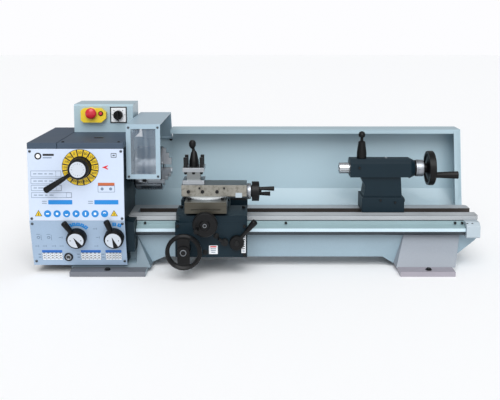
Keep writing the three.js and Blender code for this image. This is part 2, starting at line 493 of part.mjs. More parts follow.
// ---- Guards -------------------------------------------------------------------------------
function makeGuards() {
  const group = new THREE.Group();
  const x = [HEAD_RIGHT + 1, -252], front = -110, low = 265, high = 417, hinge = [212, 333];
  const frameLine = [[front + SHEET / 2, low], [front + SHEET / 2, high - SHEET / 2],
    [177, high - SHEET / 2], hinge];
  const border = 13;
  const window = block([x[0] + border, x[1] - border], [front - 5, front + 8],
    [low + border, high - border]);
  const knuckle = moved(rod(5, ...x, 12), [0, ...hinge], RIGHT);
  add(group, 'guard_frame', cut(join(alongX(folded(frameLine, SHEET), ...x), knuckle), window),
    'paleBluePaint');
  const inset = 5;
  add(group, 'guard_window', block([x[0] + inset, x[1] - inset],
    [front + SHEET + GAP, front + SHEET + GAP + 3], [low + inset, high - inset]), 'clearWindow');

  const lipFront = 151, top = 366, back = 221, lipStart = -251.4, thick = 3;
  const lower = [[194, 173], [171, 124], [RAIL_HALF + 2, 112]];
  const rightLine = [[lipFront + thick / 2, top - 13], [lipFront + thick / 2, top - thick / 2],
    [back, top - thick / 2], ...lower];
  const sheet = alongX(folded(rightLine, thick), lipStart, BED_RIGHT);
  const leftLine = [[hinge[0] + 7.6, hinge[1] + 1], ...lower];
  const leftSheet = alongX(folded(leftLine, thick), -400, lipStart + 1);
  const sideTop = top - thick / 2;
  const sideFoot = [109, 138];
  const side = alongX([[lipFront, sideTop], [back, sideTop], [194, 173], [171, 124],
    [112, 117], sideFoot], BED_RIGHT - thick, BED_RIGHT);
  const flangeWidth = 20;
  const flange = alongX(folded([[lipFront + thick / 2, sideTop - 1], [sideFoot[0] + thick / 2,
    sideFoot[1]]], thick), BED_RIGHT - flangeWidth, BED_RIGHT);
  add(group, 'splash_guard', join(sheet, leftSheet, side, flange), 'paleBluePaint');
  return group;
}

// ---- Carriage -----------------------------------------------------------------------------
// The group's origin is on the ways under the middle of the saddle.
const APRON_FRONT = -150, APRON_BACK = -96;
const CARRIAGE_WHEEL = [-71.6, -66], RACK_SHAFT = [-30.4, -58]; // [x, z] of each axis
const HALF_NUT_LEVER = [70, -51], FEED_KNOB = [37, -50];

function makeCarriage() {
  const group = new THREE.Group();
  const plan = [[-SADDLE_HALF, -118], [-SADDLE_HALF + 12, APRON_FRONT], [SADDLE_HALF, APRON_FRONT],
    [SADDLE_HALF, -30], [48, -30], [48, 34], [SADDLE_HALF, 34], [SADDLE_HALF, 85],
    [-SADDLE_HALF, 85], [-SADDLE_HALF, 34], [-74, 34], [-74, -30], [-SADDLE_HALF, -30]];
  const overlap = 0.6;
  const veeGroove = alongX([[VEE_Y - VEE_HALF - overlap, -1], [VEE_Y + VEE_HALF + overlap, -1],
    [VEE_Y + VEE_HALF + overlap, GAP], [VEE_Y, VEE_HEIGHT + overlap],
    [VEE_Y - VEE_HALF - overlap, GAP]], -110, 110);
  const dovetail = alongY([[CROSS_X - 32, SADDLE_TOP - 1], [CROSS_X + 32, SADDLE_TOP - 1],
    [CROSS_X + 37, 38], [CROSS_X - 37, 38]], -85, 85);
  const screwBore = moved(rod(6.5, -5, 32, 12), [CROSS_X, -120, 8], FRONT);
  const frontFoot = block([-110, 110], [-160, -71], [-1, 2 + GAP]);
  add(group, 'saddle', cut(join(prism(plan, GAP, SADDLE_TOP), dovetail), veeGroove, screwBore,
    frontFoot), 'darkTealPaint');

  const wall = 6;
  const outside = block([-SADDLE_HALF, SADDLE_HALF + 0.4], [APRON_FRONT, APRON_BACK],
    [APRON_BOTTOM, 2]);
  const inside = block([-SADDLE_HALF + wall, SADDLE_HALF - wall],
    [APRON_FRONT + wall, APRON_BACK + 1], [APRON_BOTTOM + wall, -8]);
  const bores = [[CARRIAGE_WHEEL, 8], [HALF_NUT_LEVER, 6.5], [FEED_KNOB, 5.5]].map(
    ([[x, z], r]) => moved(rod(r, -10, 10, 16), [x, APRON_FRONT, z], FRONT));
  add(group, 'apron', cut(outside, inside, ...bores), 'darkTealPaint');

  const rimRadius = 49, faceY = APRON_FRONT;
  const rim = turnedRing([[38, 39], [44, 36], [rimRadius, 40], [rimRadius, 49], [44, 53],
    [38, 50]], 28);
  const spoke = block([-16.5, 16.5], [-41, 41], [41, 49]);
  const wheelPhase = meshPhase(angleTo(RACK_SHAFT, CARRIAGE_WHEEL), TEETH.apronWheel, 0,
    TEETH.apronPinion);
  const pinion = gear(MODULE_APRON, TEETH.apronPinion, -24, -12, 0, wheelPhase);
  add(group, 'carriage_handwheel', join(rim, spoke, rod(17, 8, 54, 20), rod(7.5, -24, 9, 16),
    pinion), 'blackPlastic', [CARRIAGE_WHEEL[0], faceY, CARRIAGE_WHEEL[1]], FRONT);
  add(group, 'rack_pinion', join(gear(MODULE_APRON, TEETH.apronWheel, -24, -12, 0, 0),
    rod(6, -90, -10, 12), gear(MODULE_RACK, TEETH.rack, -89, -81, 0, Math.PI / 2)),
  'groundSteel', [RACK_SHAFT[0], faceY, RACK_SHAFT[1]], FRONT);

  const nutDrop = 4, nutX = [16, 56];
  const nut = cut(block(nutX, [-125, -66], [-63, LEADSCREW.z - WAYS - nutDrop]),
    block([nutX[0] - 1, nutX[1] + 1], [-126, -96], [-55, 0]),
    moved(rod(LEADSCREW.radius + 0.8, -10, 80, 16), [0, LEADSCREW.y,
      LEADSCREW.z - WAYS - nutDrop], RIGHT));
  add(group, 'half_nut', nut, 'bronze');
  const nutLever = join(rod(20, 0.4, 17), rod(6, -22, 1, 12),
    bar([8, 10, 10], [30, 39, 20], 6, 6), bar([27, 35, 19], [51, 66, 30], 7, 9));
  add(group, 'half_nut_lever', nutLever, 'blackPlastic',
    [HALF_NUT_LEVER[0], faceY, HALF_NUT_LEVER[1]], FRONT);
  add(group, 'feed_knob', join(rod(10, 0.4, 12, 16), rod(5, -22, 1, 12),
    bar([0, 0, 8], [-16, 12, 16], 4, 5)), 'brightSteel',
  [FEED_KNOB[0], faceY, FEED_KNOB[1]], FRONT);
  return group;
}

function makeCrossSlide() {
  const group = new THREE.Group();
  const body = block([-57, 57], [-160, 80], [30, 61]);
  const groove = alongY([[-34.9, 29], [34.9, 29], [37.7, 38.5], [-37.7, 38.5]], -150, 81);
  const coverLine = block([-40, 40], [-161, -155], [39.5, 41]);
  add(group, 'cross_slide', cut(body, groove, coverLine), 'rawIron');
  const wheel = join(turned([[20, 0.4], [20, 27], [14, 28], [14, 31], [33, 31], [34, 34],
    [34, 45], [31, 49], [14, 49], [12, 54]], 28), rod(6, -28, 1, 12),
  bar([-21, -8, 44], [-21, -8, 86], 5, 6.5, 12));
  add(group, 'cross_handwheel', wheel, 'blackPlastic', [0, APRON_FRONT, 8], FRONT);
  return group;
}

// The group's origin is on the compound's swivel axis, at the height of the ways.
function makeCompound() {
  const group = new THREE.Group();
  add(group, 'swivel_base', join(rod(56, 61 + GAP, 66.6, 32), block([-45, 50], [-18.5, 18.5],
    [66, 82])), 'brightSteel');
  const body = block([-69, 111], [-34, 36], [67, 99]);
  const channel = block([-70, 96], [-19, 19], [66, 82.6]);
  const bore = moved(rod(6.5, 90, 115, 12), [0, 0, 75], RIGHT);
  add(group, 'top_slide', cut(body, channel, bore), 'groundSteel');
  const handles = [[-17, 11, 62], [17, -11, 52]].map(([y, z, length]) =>
    bar([y, z, 20], [y, z, length], 4.5, 6.5, 12));
  const wheel = join(turned([[21, 0.4], [21, 12], [16, 12], [16, 14], [27.5, 14], [27.5, 34],
    [10, 36]]), rod(6, -28, 1, 12), ...handles.map((handle) => handle.translate(0, 0, 14)));
  add(group, 'compound_handwheel', wheel, 'blackPlastic', [111, 0, 75], RIGHT);

  const postX = -36, postY = 1;
  const bolts = [[-22, -22], [22, -22], [-22, 22], [22, 22]].map(([x, y]) =>
    block([x - 5, x + 5], [y - 5, y + 5], [146, 174]));
  const post = join(block([-30, 30], [-30, 30], [99 + GAP, 111]), block([-19, 19], [-19, 19],
    [110, 135]), block([-30, 30], [-30, 30], [134, 146]), ...bolts);
  add(group, 'toolpost', post, 'brightSteel', [postX, postY, 0]);
  const lever = join(turned([[13.5, 146 + GAP], [13.5, 160], [8, 185], [4, 190]], 16),
    bar([0, 0, 183], [-3, 0, 200], 4.5, 4.5), turned([[5, 196], [9.5, 203], [10, 211], [7, 217],
      [3, 219]], 14).translate(-4, 0, 0));
  add(group, 'toolpost_lever', lever, 'blackPlastic', [postX, postY, 0]);
  return group;
}

// ---- Tailstock ----------------------------------------------------------------------------
// The group's origin is on the ways under the middle of the base.
function makeTailstock() {
  const group = new THREE.Group();
  const axis = SPINDLE - WAYS, split = 44, footFront = -28, pedestalFront = -22;
  const foot = block([-60.5, 60.5], [footFront, 62], [GAP, split]);
  const stem = block([-20, 20], [SLOT_FRONT + 2, SLOT_REAR - 2], [-24, 1]);
  const shoe = block([-35, 35], [-44, 44], [-25, -12.6]);
  add(group, 'tailstock_base', join(foot, stem, shoe), 'darkTealPaint');

  const pedestal = alongY([[-56, split + GAP], [-51, 75], [-66, axis - 20], [50, axis - 20],
    [54, split + GAP]], pedestalFront, 42);
  const barrel = alongX([[-30, -22], [30, -22], [30, 18], [19, 29], [-19, 29], [-30, 18]],
    -95.5, 78).translate(0, 0, axis);
  const nose = moved(turned([[30, 0], [23, 14]]), [77, 0, axis], RIGHT);
  const bore = moved(rod(16.4, -100, 70), [0, 0, axis], RIGHT);
  const screwBore = moved(rod(7.5, 60, 100, 12), [0, 0, axis], RIGHT);
  add(group, 'tailstock_body', cut(join(pedestal, barrel, nose), bore, screwBore),
    'darkTealPaint');
  add(group, 'quill', turnedRing([[9, -126.5], [14, -126.5], [16, -124.5], [16, 20], [8, 20],
    [8, -60]]), 'brightSteel', [0, 0, axis], RIGHT);
  const wheel = turnedRing([[7, 91.5], [22, 91.5], [23, 95], [23, 117], [14, 118], [14, 126],
    [40, 134], [43, 129], [49, 129], [50, 133], [50, 145], [46, 148], [42, 148], [38, 141],
    [16, 140], [12, 148], [7, 148]], 24);
  const handle = bar([-38, -13, 138], [-38, -13, 209], 8, 11, 12);
  const screw = rod(7.2, 72, 149, 12);
  add(group, 'tailstock_handwheel', join(wheel, handle, screw), 'blackPlastic', [0, 0, axis],
    RIGHT);
  const lock = join(turned([[14, 29 + GAP], [14, 45], [10, 77], [5, 80]], 18),
    rod(4.5, 78, 92, 12), turned([[4, 88], [9, 92], [10, 98], [8, 104], [3, 107]], 14));
  add(group, 'quill_lock', lock, 'blackPlastic', [-60.5, 0, axis]);
  return group;
}

// ---- Assembly -----------------------------------------------------------------------------
const machine = new THREE.Group();
const carriage = makeCarriage();
const crossSlide = makeCrossSlide();
const compound = makeCompound();
const tailstock = makeTailstock();
carriage.position.set(CARRIAGE_X, 0, WAYS);
crossSlide.position.set(CARRIAGE_X + CROSS_X, 0, WAYS);
compound.position.set(CARRIAGE_X + CROSS_X, COMPOUND_Y, WAYS);
tailstock.position.set(TAILSTOCK_X, 0, WAYS);
machine.add(makeBed(), makeHeadstock(), makeElectrics(), makeControls(), makeSpindle(),
  makeDrive(), makeGuards(), carriage, crossSlide, compound, tailstock);

// The part's origin is under the middle of its overall box, on the floor.
const overall = new THREE.Box3().setFromObject(machine);
const middle = overall.getCenter(new THREE.Vector3());
machine.position.set(-middle.x, -middle.y, -overall.min.z);
const lathe = new THREE.Group();
lathe.add(machine);

export default lathe;
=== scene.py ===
"""The looks of a bench metal lathe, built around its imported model.

Sizes are millimetres in the machine's own datum (x 0 is 526 mm right of the bed's left end, y 0 is
the spindle's plane, z 0 is the floor); they become metres in the shared frame when a mesh is made.
"""
from __future__ import annotations

import json
import logging
import math
from collections.abc import Callable, Sequence
from dataclasses import dataclass, field
from enum import Enum, IntEnum

import bmesh
import bpy
import numpy as np
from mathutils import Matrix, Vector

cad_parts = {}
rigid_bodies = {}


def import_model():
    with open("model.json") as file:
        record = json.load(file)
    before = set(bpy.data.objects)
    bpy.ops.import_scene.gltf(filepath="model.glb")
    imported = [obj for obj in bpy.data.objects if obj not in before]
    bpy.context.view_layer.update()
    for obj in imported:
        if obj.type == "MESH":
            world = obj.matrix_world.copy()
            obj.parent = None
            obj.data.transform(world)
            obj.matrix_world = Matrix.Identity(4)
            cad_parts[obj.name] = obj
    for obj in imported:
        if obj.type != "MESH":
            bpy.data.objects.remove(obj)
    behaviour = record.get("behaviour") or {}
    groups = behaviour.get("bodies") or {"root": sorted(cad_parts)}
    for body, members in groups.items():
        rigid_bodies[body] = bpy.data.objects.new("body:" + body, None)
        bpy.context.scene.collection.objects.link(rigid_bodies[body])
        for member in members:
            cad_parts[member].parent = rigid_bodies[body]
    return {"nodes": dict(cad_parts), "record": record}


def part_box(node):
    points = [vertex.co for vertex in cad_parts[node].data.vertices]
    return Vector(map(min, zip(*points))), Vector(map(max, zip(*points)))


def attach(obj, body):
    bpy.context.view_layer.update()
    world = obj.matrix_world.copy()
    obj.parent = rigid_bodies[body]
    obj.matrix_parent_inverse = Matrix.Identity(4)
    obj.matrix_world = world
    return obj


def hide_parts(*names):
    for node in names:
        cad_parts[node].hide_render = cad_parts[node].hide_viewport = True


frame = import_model()

LOG = logging.getLogger("lathe")
METRE = 1000.0  # millimetres in a metre
FILM = 0.25  # thickness of a printed film, mm
CREASE = 32.0  # faces that meet more steeply than this stay sharp, degrees

Vec3 = tuple[float, float, float]
Points = np.ndarray
Faces = list[tuple[int, ...]]
Test = Callable[[np.ndarray, np.ndarray], np.ndarray]


def datum() -> np.ndarray:
    """Where the machine's own origin lies in the shared frame.

    Returns:
        The offset in mm, from the bed's left end and the front of the headstock's lid.
    """
    bed_left, lid_front = -526.0, -150.0
    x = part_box("bed")[0].x * METRE - bed_left
    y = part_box("headstock_lid")[0].y * METRE - lid_front
    return np.array([x, y, 0.0])


DATUM = datum()


# ---- Colour and finishes -------------------------------------------------------------------
def linear(code: str) -> tuple[float, float, float, float]:
    """Turns an sRGB hex colour into linear light.

    Args:
        code: six hex digits, such as "9DB9CD".

    Returns:
        Red, green, blue and full alpha, linear.
    """
    parts = [int(code[i:i + 2], 16) / 255 for i in (0, 2, 4)]
    light = [c / 12.92 if c <= 0.04045 else ((c + 0.055) / 1.055) ** 2.4 for c in parts]
    return light[0], light[1], light[2], 1.0


def add_node(tree: bpy.types.NodeTree, kind: str, settings: dict | None = None,
             links: dict | None = None) -> bpy.types.Node:
    """Adds one shader node with its settings and links.

    Args:
        tree: the material's node tree.
        kind: the node's type name.
        settings: attribute or input name (or input number) to value.
        links: input name (or number) to the output socket that feeds it.

    Returns:
        The new node.
    """
    node = tree.nodes.new(kind)
    for key, value in (settings or {}).items():
        if isinstance(key, str) and hasattr(node, key):
            setattr(node, key, value)
        else:
            node.inputs[key].default_value = value
    for key, output in (links or {}).items():
        tree.links.new(output, node.inputs[key])
    return node


class Grain(Enum):
    """How a surface's fine marks lie."""

    EVEN = "even"
    ALONG_X = "along x"
    ALONG_Y = "along y"
    ALONG_Z = "along z"
    ROUND_X = "round x"
    ROUND_Y = "round y"
    ROUND_Z = "round z"


STRETCH = {Grain.EVEN: (1, 1, 1), Grain.ALONG_X: (0.04, 1, 1), Grain.ALONG_Y: (1, 0.04, 1),
           Grain.ALONG_Z: (1, 1, 0.04)}
ROUND_KEEP = {Grain.ROUND_X: (0, 1, 1), Grain.ROUND_Y: (1, 0, 1), Grain.ROUND_Z: (1, 1, 0)}


@dataclass(frozen=True)
class Finish:
    """A surface: its plain name, colour, gloss and the marks its making left.

    Grain sizes are in mm. Marks finer than about 2 mm don't show at this distance, so each is
    drawn as coarse as it needs to show, and its depth is kept shallow.
    """

    name: str
    colour: str
    roughness: float
    metallic: float = 0.0
    coat: float = 0.0  # how much clear lacquer lies over it
    specular: float = 0.5  # how strongly it mirrors light, lower for dull dark surfaces
    alpha: float = 1.0  # how much of what lies behind it is hidden
    grain: Grain = Grain.EVEN
    centre: Vec3 = (0.0, 0.0, 0.0)  # where rings of turning marks are centred, mm
    mark: float = 3.0  # size of the fine marks, mm
    depth: float = 0.05  # height of the fine marks, mm
    cloud: float = 90.0  # size of the slow change in tone, mm
    tone: float = 0.06  # how far the tone changes
    uneven: float = 0.10  # how far the gloss changes
    second: str = ""  # colour of worn or darker spots, none if empty
    spots: float = 0.0  # how much of the surface the second colour takes

    def position(self, tree: bpy.types.NodeTree) -> bpy.types.NodeSocket:
        """Where a point of the surface lies, stretched the way the marks run.

        Marks along an axis are stretched along it. Marks round an axis are drawn on the point's
        distance from that axis and its distance along it.

        Args:
            tree: the material's node tree.

        Returns:
            The socket that gives the place.
        """
        coords = add_node(tree, "ShaderNodeTexCoord").outputs["Object"]
        if self.grain in STRETCH:
            return add_node(tree, "ShaderNodeMapping", {"Scale": STRETCH[self.grain]},
                            {"Vector": coords}).outputs["Vector"]
        shift = tuple(-(c + d) / METRE for c, d in zip(self.centre, DATUM))
        centred = add_node(tree, "ShaderNodeMapping", {"Location": shift}, {"Vector": coords})
        across = add_node(tree, "ShaderNodeVectorMath",
                          {"operation": "MULTIPLY", 1: ROUND_KEEP[self.grain]},
                          {0: centred.outputs["Vector"]})
        radius = add_node(tree, "ShaderNodeVectorMath", {"operation": "LENGTH"},
                          {0: across.outputs["Vector"]})
        along = add_node(tree, "ShaderNodeVectorMath",
                         {"operation": "MULTIPLY",
                          1: tuple(1 - k for k in ROUND_KEEP[self.grain])},
                         {0: centred.outputs["Vector"]})
        spread = add_node(tree, "ShaderNodeVectorMath", {"operation": "LENGTH"},
                          {0: along.outputs["Vector"]})
        return add_node(tree, "ShaderNodeCombineXYZ", {},
                        {"X": radius.outputs["Value"],
                         "Y": spread.outputs["Value"]}).outputs["Vector"]

    def material(self) -> bpy.types.Material:
        """Builds the finish's nodes once.

        Two noises do the work: a fine one for the marks (bump and gloss) and a slow one for the
        cloudiness of the tone, both on Object coordinates.

        Returns:
            The material.
        """
        made = bpy.data.materials.get(self.name)
        if made is not None:
            return made
        made = bpy.data.materials.new(self.name)
        made.use_nodes = True
        tree = made.node_tree
        shader = tree.nodes["Principled BSDF"]
        place = self.position(tree)
        coords = add_node(tree, "ShaderNodeTexCoord").outputs["Object"]
        fine = add_node(tree, "ShaderNodeTexNoise",
                        {"Scale": METRE / self.mark, "Detail": 5.0, "Roughness": 0.6},
                        {"Vector": place}).outputs["Fac"]
        slow = add_node(tree, "ShaderNodeTexNoise",
                        {"Scale": METRE / self.cloud, "Detail": 3.0},
                        {"Vector": coords}).outputs["Fac"]
        both = add_node(tree, "ShaderNodeMix",
                        {"data_type": "FLOAT", "Factor": 0.45}, {2: slow, 3: fine}).outputs[0]
        light = add_node(tree, "ShaderNodeMapRange",
                         {"From Min": 0.3, "From Max": 0.7, "To Min": 1 - self.tone,
                          "To Max": 1 + self.tone}, {"Value": both}).outputs["Result"]
        base = linear(self.colour)
        tinted = add_node(tree, "ShaderNodeVectorMath",
                          {"operation": "SCALE", 0: base[:3]}, {"Scale": light}).outputs["Vector"]
        if self.second:
            spots = add_node(tree, "ShaderNodeMapRange",
                             {"From Min": 0.62 - self.spots * 0.3, "From Max": 0.72,
                              "To Min": 0.0, "To Max": 0.8}, {"Value": fine}).outputs["Result"]
            tinted = add_node(tree, "ShaderNodeMix",
                              {"data_type": "RGBA", 7: linear(self.second)},
                              {"Factor": spots, 6: tinted}).outputs[2]
        tree.links.new(tinted, shader.inputs["Base Color"])
        gloss = add_node(tree, "ShaderNodeMapRange",
                         {"From Min": 0.3, "From Max": 0.7,
                          "To Min": max(0.02, self.roughness - self.uneven / 2),
                          "To Max": min(1.0, self.roughness + self.uneven / 2)},
                         {"Value": both}).outputs["Result"]
        tree.links.new(gloss, shader.inputs["Roughness"])
        bump = add_node(tree, "ShaderNodeBump",
                        {"Strength": 0.6, "Distance": self.depth / METRE}, {"Height": fine})
        tree.links.new(bump.outputs["Normal"], shader.inputs["Normal"])
        shader.inputs["Metallic"].default_value = self.metallic
        shader.inputs["Coat Weight"].default_value = self.coat
        shader.inputs["Coat Roughness"].default_value = 0.12
        shader.inputs["Specular IOR Level"].default_value = self.specular
        shader.inputs["Alpha"].default_value = self.alpha
        return made


# Semi-gloss enamel sprayed on a casting: a soft orange peel with the sand texture under it.
CAST_ENAMEL = Finish("cast_iron_sprayed_enamel", "8FA7B5", 0.42, coat=0.25, mark=4.0,
                     depth=0.12, tone=0.05)
# The bed's web is shaded by the rails above it and a little greener.
WEB_ENAMEL = Finish("bed_web_enamel", "8EA4B1", 0.45, coat=0.2, mark=4.0, depth=0.15, tone=0.06)
# The feet's sloping sides look up to the light, so their paint is made a shade deeper: painted
# shade that offsets the light they catch.
FLARE_PAINTED_SHADE = Finish("bed_flare_painted_shade", "8B939D", 0.50, coat=0.1, mark=4.0, depth=0.15)
# The left foot's slope stands in the headstock's shade, which makes the paint look bluer.
FLARE_SHADED = Finish("bed_left_flare_enamel", "697D8A", 0.50, coat=0.1, mark=4.0, depth=0.15)
# Coat on the folded leadscrew strip: smoother than the casting and a little greener.
COVER_COAT = Finish("leadscrew_cover_coat", "8CA5AB", 0.45, coat=0.1, mark=2.5, depth=0.05)
# Filled and rubbed-down casting: the palest of the painted parts.
BRACKET_COAT = Finish("leadscrew_bracket_coat", "ADBBC4", 0.42, coat=0.15, mark=4.0, depth=0.1)
# The strip's upright lip faces the light, so it is painted paler than the strip: a painted
# highlight that draws a bright line along the bed.
COVER_LIP_HIGHLIGHT = Finish("leadscrew_cover_lip_highlight", "C4DAE6", 0.35, coat=0.2, mark=2.5, depth=0.03)
# The left foot's plate: the enamel of the right one, dulled by shade.
FOOT_SHADED = Finish("bed_left_foot_enamel", "6C7078", 0.5, coat=0.1, mark=4.0, depth=0.12)
# Foot plates: enamel scuffed to a faint mauve grey.
FOOT_ENAMEL = Finish("bed_foot_enamel", "9A96A0", 0.45, coat=0.2, mark=4.0, depth=0.12)
# Powder coat on folded sheet: an even, fine pebble.
SHEET_COAT = Finish("powder_coated_sheet_steel", "A3BBC6", 0.40, coat=0.2, mark=2.5,
                    depth=0.05, cloud=160, tone=0.035)
# The chuck guard's powder coat: as on the sheet, a shade deeper.
GUARD_COAT = Finish("powder_coated_guard", "9BB2C0", 0.38, coat=0.2, mark=2.5, depth=0.05)
# Screen-printed film behind a clear lacquer: smooth and almost white.
PANEL_WHITE = Finish("printed_white_panel", "C3D0E4", 0.30, coat=0.35, mark=6.0, depth=0.02,
                     cloud=200, tone=0.03, uneven=0.06)
# The same film printed blue grey, for the lower panel: a flat cool tone with a soft shine.
PANEL_GREY = Finish("printed_blue_grey_panel", "98AEC6", 0.34, coat=0.3, mark=6.0,
                    depth=0.02, cloud=180, tone=0.04, uneven=0.06)
# Textured powder coat: a visible coarse pebble.
LID_COAT = Finish("textured_dark_powder_coat", "36475A", 0.52, mark=3.0, depth=0.16,
                  tone=0.08)
# Dark machine enamel on cast iron, brushed by hands and oil.
DARK_ENAMEL = Finish("dark_teal_cast_enamel", "0E222C", 0.46, specular=0.22, mark=4.5,
                     depth=0.16, tone=0.12, uneven=0.18)
# Surface-ground ways: long fine scratches along the bed with a faint oil bloom.
GROUND_WAYS = Finish("ground_bed_ways", "B2B7BB", 0.50, metallic=0.45, grain=Grain.ALONG_X,
                     mark=2.4, depth=0.02, cloud=120, tone=0.10, uneven=0.16)
# Zinc plate on small screws: a dull grey glint.
ZINC_PLATE = Finish("zinc_plated_screw", "5E646B", 0.34, metallic=1.0, mark=2.5, depth=0.02)
# The walls between the ways: unpainted iron, painted dark brown as the shade that falls in the
# narrow gap.
GAP_PAINTED_SHADE = Finish("ways_gap_painted_shade", "3B3532", 0.55, metallic=0.3, mark=6.0, depth=0.1,
                   tone=0.2)
# Scraped slide face: bare, warm and dull, so it takes the light from every side.
SCRAPED_IRON = Finish("scraped_slide_face", "918F87", 0.50, metallic=0.5, mark=9.0, depth=0.05,
                      cloud=30, tone=0.12, uneven=0.2, second="5C574D", spots=0.5)
# Surface-ground steel: fine lines one way, which draw its highlights out.
GROUND_STEEL = Finish("surface_ground_steel", "85898A", 0.34, metallic=1.0,
                      grain=Grain.ALONG_X, mark=2.2, depth=0.03, tone=0.12, uneven=0.16)
# Milled plate of the tool post: as the ground steel, but brighter.
PLATE_STEEL = Finish("milled_plate_steel", "A6ABB0", 0.32, metallic=1.0, grain=Grain.ALONG_X,
                     mark=2.2, depth=0.03, tone=0.10, uneven=0.14)
# Turned and ground on a lathe: rings about the axis.
TURNED_ON_SPINDLE = Finish("turned_chuck_steel", "8F949A", 0.22, metallic=1.0,
                           grain=Grain.ROUND_X, centre=(0, 0, 275), mark=2.6, depth=0.05,
                           tone=0.30, uneven=0.2)
# The swivel's turned edge: rings round the upright axis, with the bright steel's sheen painted in
# as a pale, half-metal colour, on which a scale reads well.
TURNED_UPRIGHT = Finish("turned_swivel_steel", "DCE2E5", 0.38, metallic=0.35,
                        grain=Grain.ROUND_Z, centre=(-126, -82, 0), mark=2.4, depth=0.03)
# Polished tool steel: an even, clean glint.
BRIGHT_STEEL = Finish("polished_tool_steel", "A4A9AF", 0.40, metallic=1.0, mark=2.5,
                      depth=0.015, tone=0.06, uneven=0.10)
# A cut screw thread reads as fine rings along the bar; its steel is painted dark as the shade
# under the cover above it.
TURNED_SCREW = Finish("cut_leadscrew_steel", "4C5257", 0.38, metallic=1.0,
                      grain=Grain.ALONG_Y, mark=2.0, depth=0.35, tone=0.16)
# Ground quill: bright, with rings so fine that only their sheen shows.
QUILL_STEEL = Finish("ground_quill_steel", "C2C6CA", 0.24, metallic=1.0, grain=Grain.ROUND_X,
                     centre=(0, 0, 275), mark=2.6, depth=0.015, tone=0.08, uneven=0.1)
# Milled and left bare: brownish grey iron with darker oily patches.
RAW_IRON = Finish("milled_bare_iron", "56544C", 0.46, metallic=0.85, grain=Grain.ALONG_X,
                  mark=3.0, depth=0.05, tone=0.18, uneven=0.2, second="4A4238", spots=0.35)
# Blackened steel: chemical black with a thin oil film.
BLACK_OXIDE = Finish("black_oxide_steel", "0A0C0E", 0.44, specular=0.3, mark=2.5,
                     depth=0.03, tone=0.10, uneven=0.16)
# Compression-moulded phenolic: deep black with a soft gloss.
PHENOLIC = Finish("moulded_black_phenolic", "07080A", 0.42, coat=0.04, specular=0.22,
                  mark=5.0, depth=0.03, tone=0.10, uneven=0.12)
# Machine paint on a motor casting: flat and slightly rough.
MOTOR_PAINT = Finish("painted_motor_casting", "4B5A66", 0.48, mark=4.0, depth=0.1)
# Moulded rubber: black and quite dull on the belt, with a faint sheen on the way wiper.
BELT_RUBBER = Finish("moulded_belt_rubber", "17181A", 0.75, mark=3.0, depth=0.06)
WIPER_RUBBER = Finish("moulded_wiper_rubber", "111315", 0.6, specular=0.35, mark=3.0,
                      depth=0.05)
# Machined bronze: a warm dull glint along the cut.
BRONZE = Finish("machined_bronze", "A77B3C", 0.35, metallic=1.0, grain=Grain.ALONG_X)
# Moulded switch plastics: full colours with a soft gloss.
YELLOW_ABS = Finish("moulded_yellow_abs", "E3C61F", 0.34, coat=0.15, mark=5.0, depth=0.02,
                    tone=0.03)
RED_ABS = Finish("moulded_red_abs", "C81E30", 0.28, coat=0.3, mark=5.0, depth=0.02, tone=0.03)
WHITE_ABS = Finish("moulded_white_abs", "E6EAEE", 0.36, mark=5.0, depth=0.02, tone=0.02)
# Clear polycarbonate: mostly see-through, with a glossy face; its blue-grey tint and broad pale
# streaks are painted reflection, and the streaks also stand for faint wipe marks.
CLEAR_SHEET = Finish("clear_polycarbonate_sheet", "66788C", 0.10, alpha=0.36, mark=26.0,
                     grain=Grain.ALONG_Z, depth=0.02, tone=0.25, uneven=0.05,
                     second="C9D3DA", spots=0.75)
# Printing inks: flat colour with a slight satin.
INK_YELLOW = Finish("ink_yellow", "DDBB1C", 0.40, mark=4.0, depth=0.01, tone=0.03)
INK_BLACK = Finish("ink_black", "0B0D10", 0.40, mark=4.0, depth=0.01, tone=0.05)
INK_BLUE = Finish("ink_blue", "0B7FCB", 0.38, mark=4.0, depth=0.01, tone=0.03)
INK_NAVY = Finish("ink_navy", "0F5FB4", 0.38, mark=4.0, depth=0.01, tone=0.04)
INK_ORANGE = Finish("ink_orange", "B85F38", 0.40, mark=4.0, depth=0.01, tone=0.04)
INK_RED = Finish("ink_red", "D0202C", 0.40, mark=4.0, depth=0.01, tone=0.04)
INK_WHITE = Finish("ink_white", "F2F5F8", 0.38, mark=4.0, depth=0.01, tone=0.02)
INK_PALE = Finish("ink_pale_grey", "C3CBD5", 0.34, mark=4.0, depth=0.01, tone=0.05)
INK_GREY = Finish("ink_grey", "6E8095", 0.42, mark=4.0, depth=0.01, tone=0.04)
# Sight glass: dark oil behind a clear dome.
OIL_GLASS = Finish("oil_behind_sight_glass", "1E1A14", 0.08, coat=0.5, mark=12.0, tone=0.15)

SLOT_FINISH = {
    "cast_paint": CAST_ENAMEL, "sheet_paint": SHEET_COAT, "panel_white": PANEL_WHITE,
    "panel_blue_grey": PANEL_GREY, "lid_grey": LID_COAT, "dark_teal": DARK_ENAMEL,
    "ground_steel": GROUND_STEEL, "bright_steel": BRIGHT_STEEL, "raw_iron": RAW_IRON,
    "black_plastic": PHENOLIC, "motor_paint": MOTOR_PAINT, "belt": BELT_RUBBER,
    "bronze": BRONZE, "yellow_plastic": YELLOW_ABS, "red_plastic": RED_ABS,
    "switch_white": WHITE_ABS, "clear_window": CLEAR_SHEET,
}


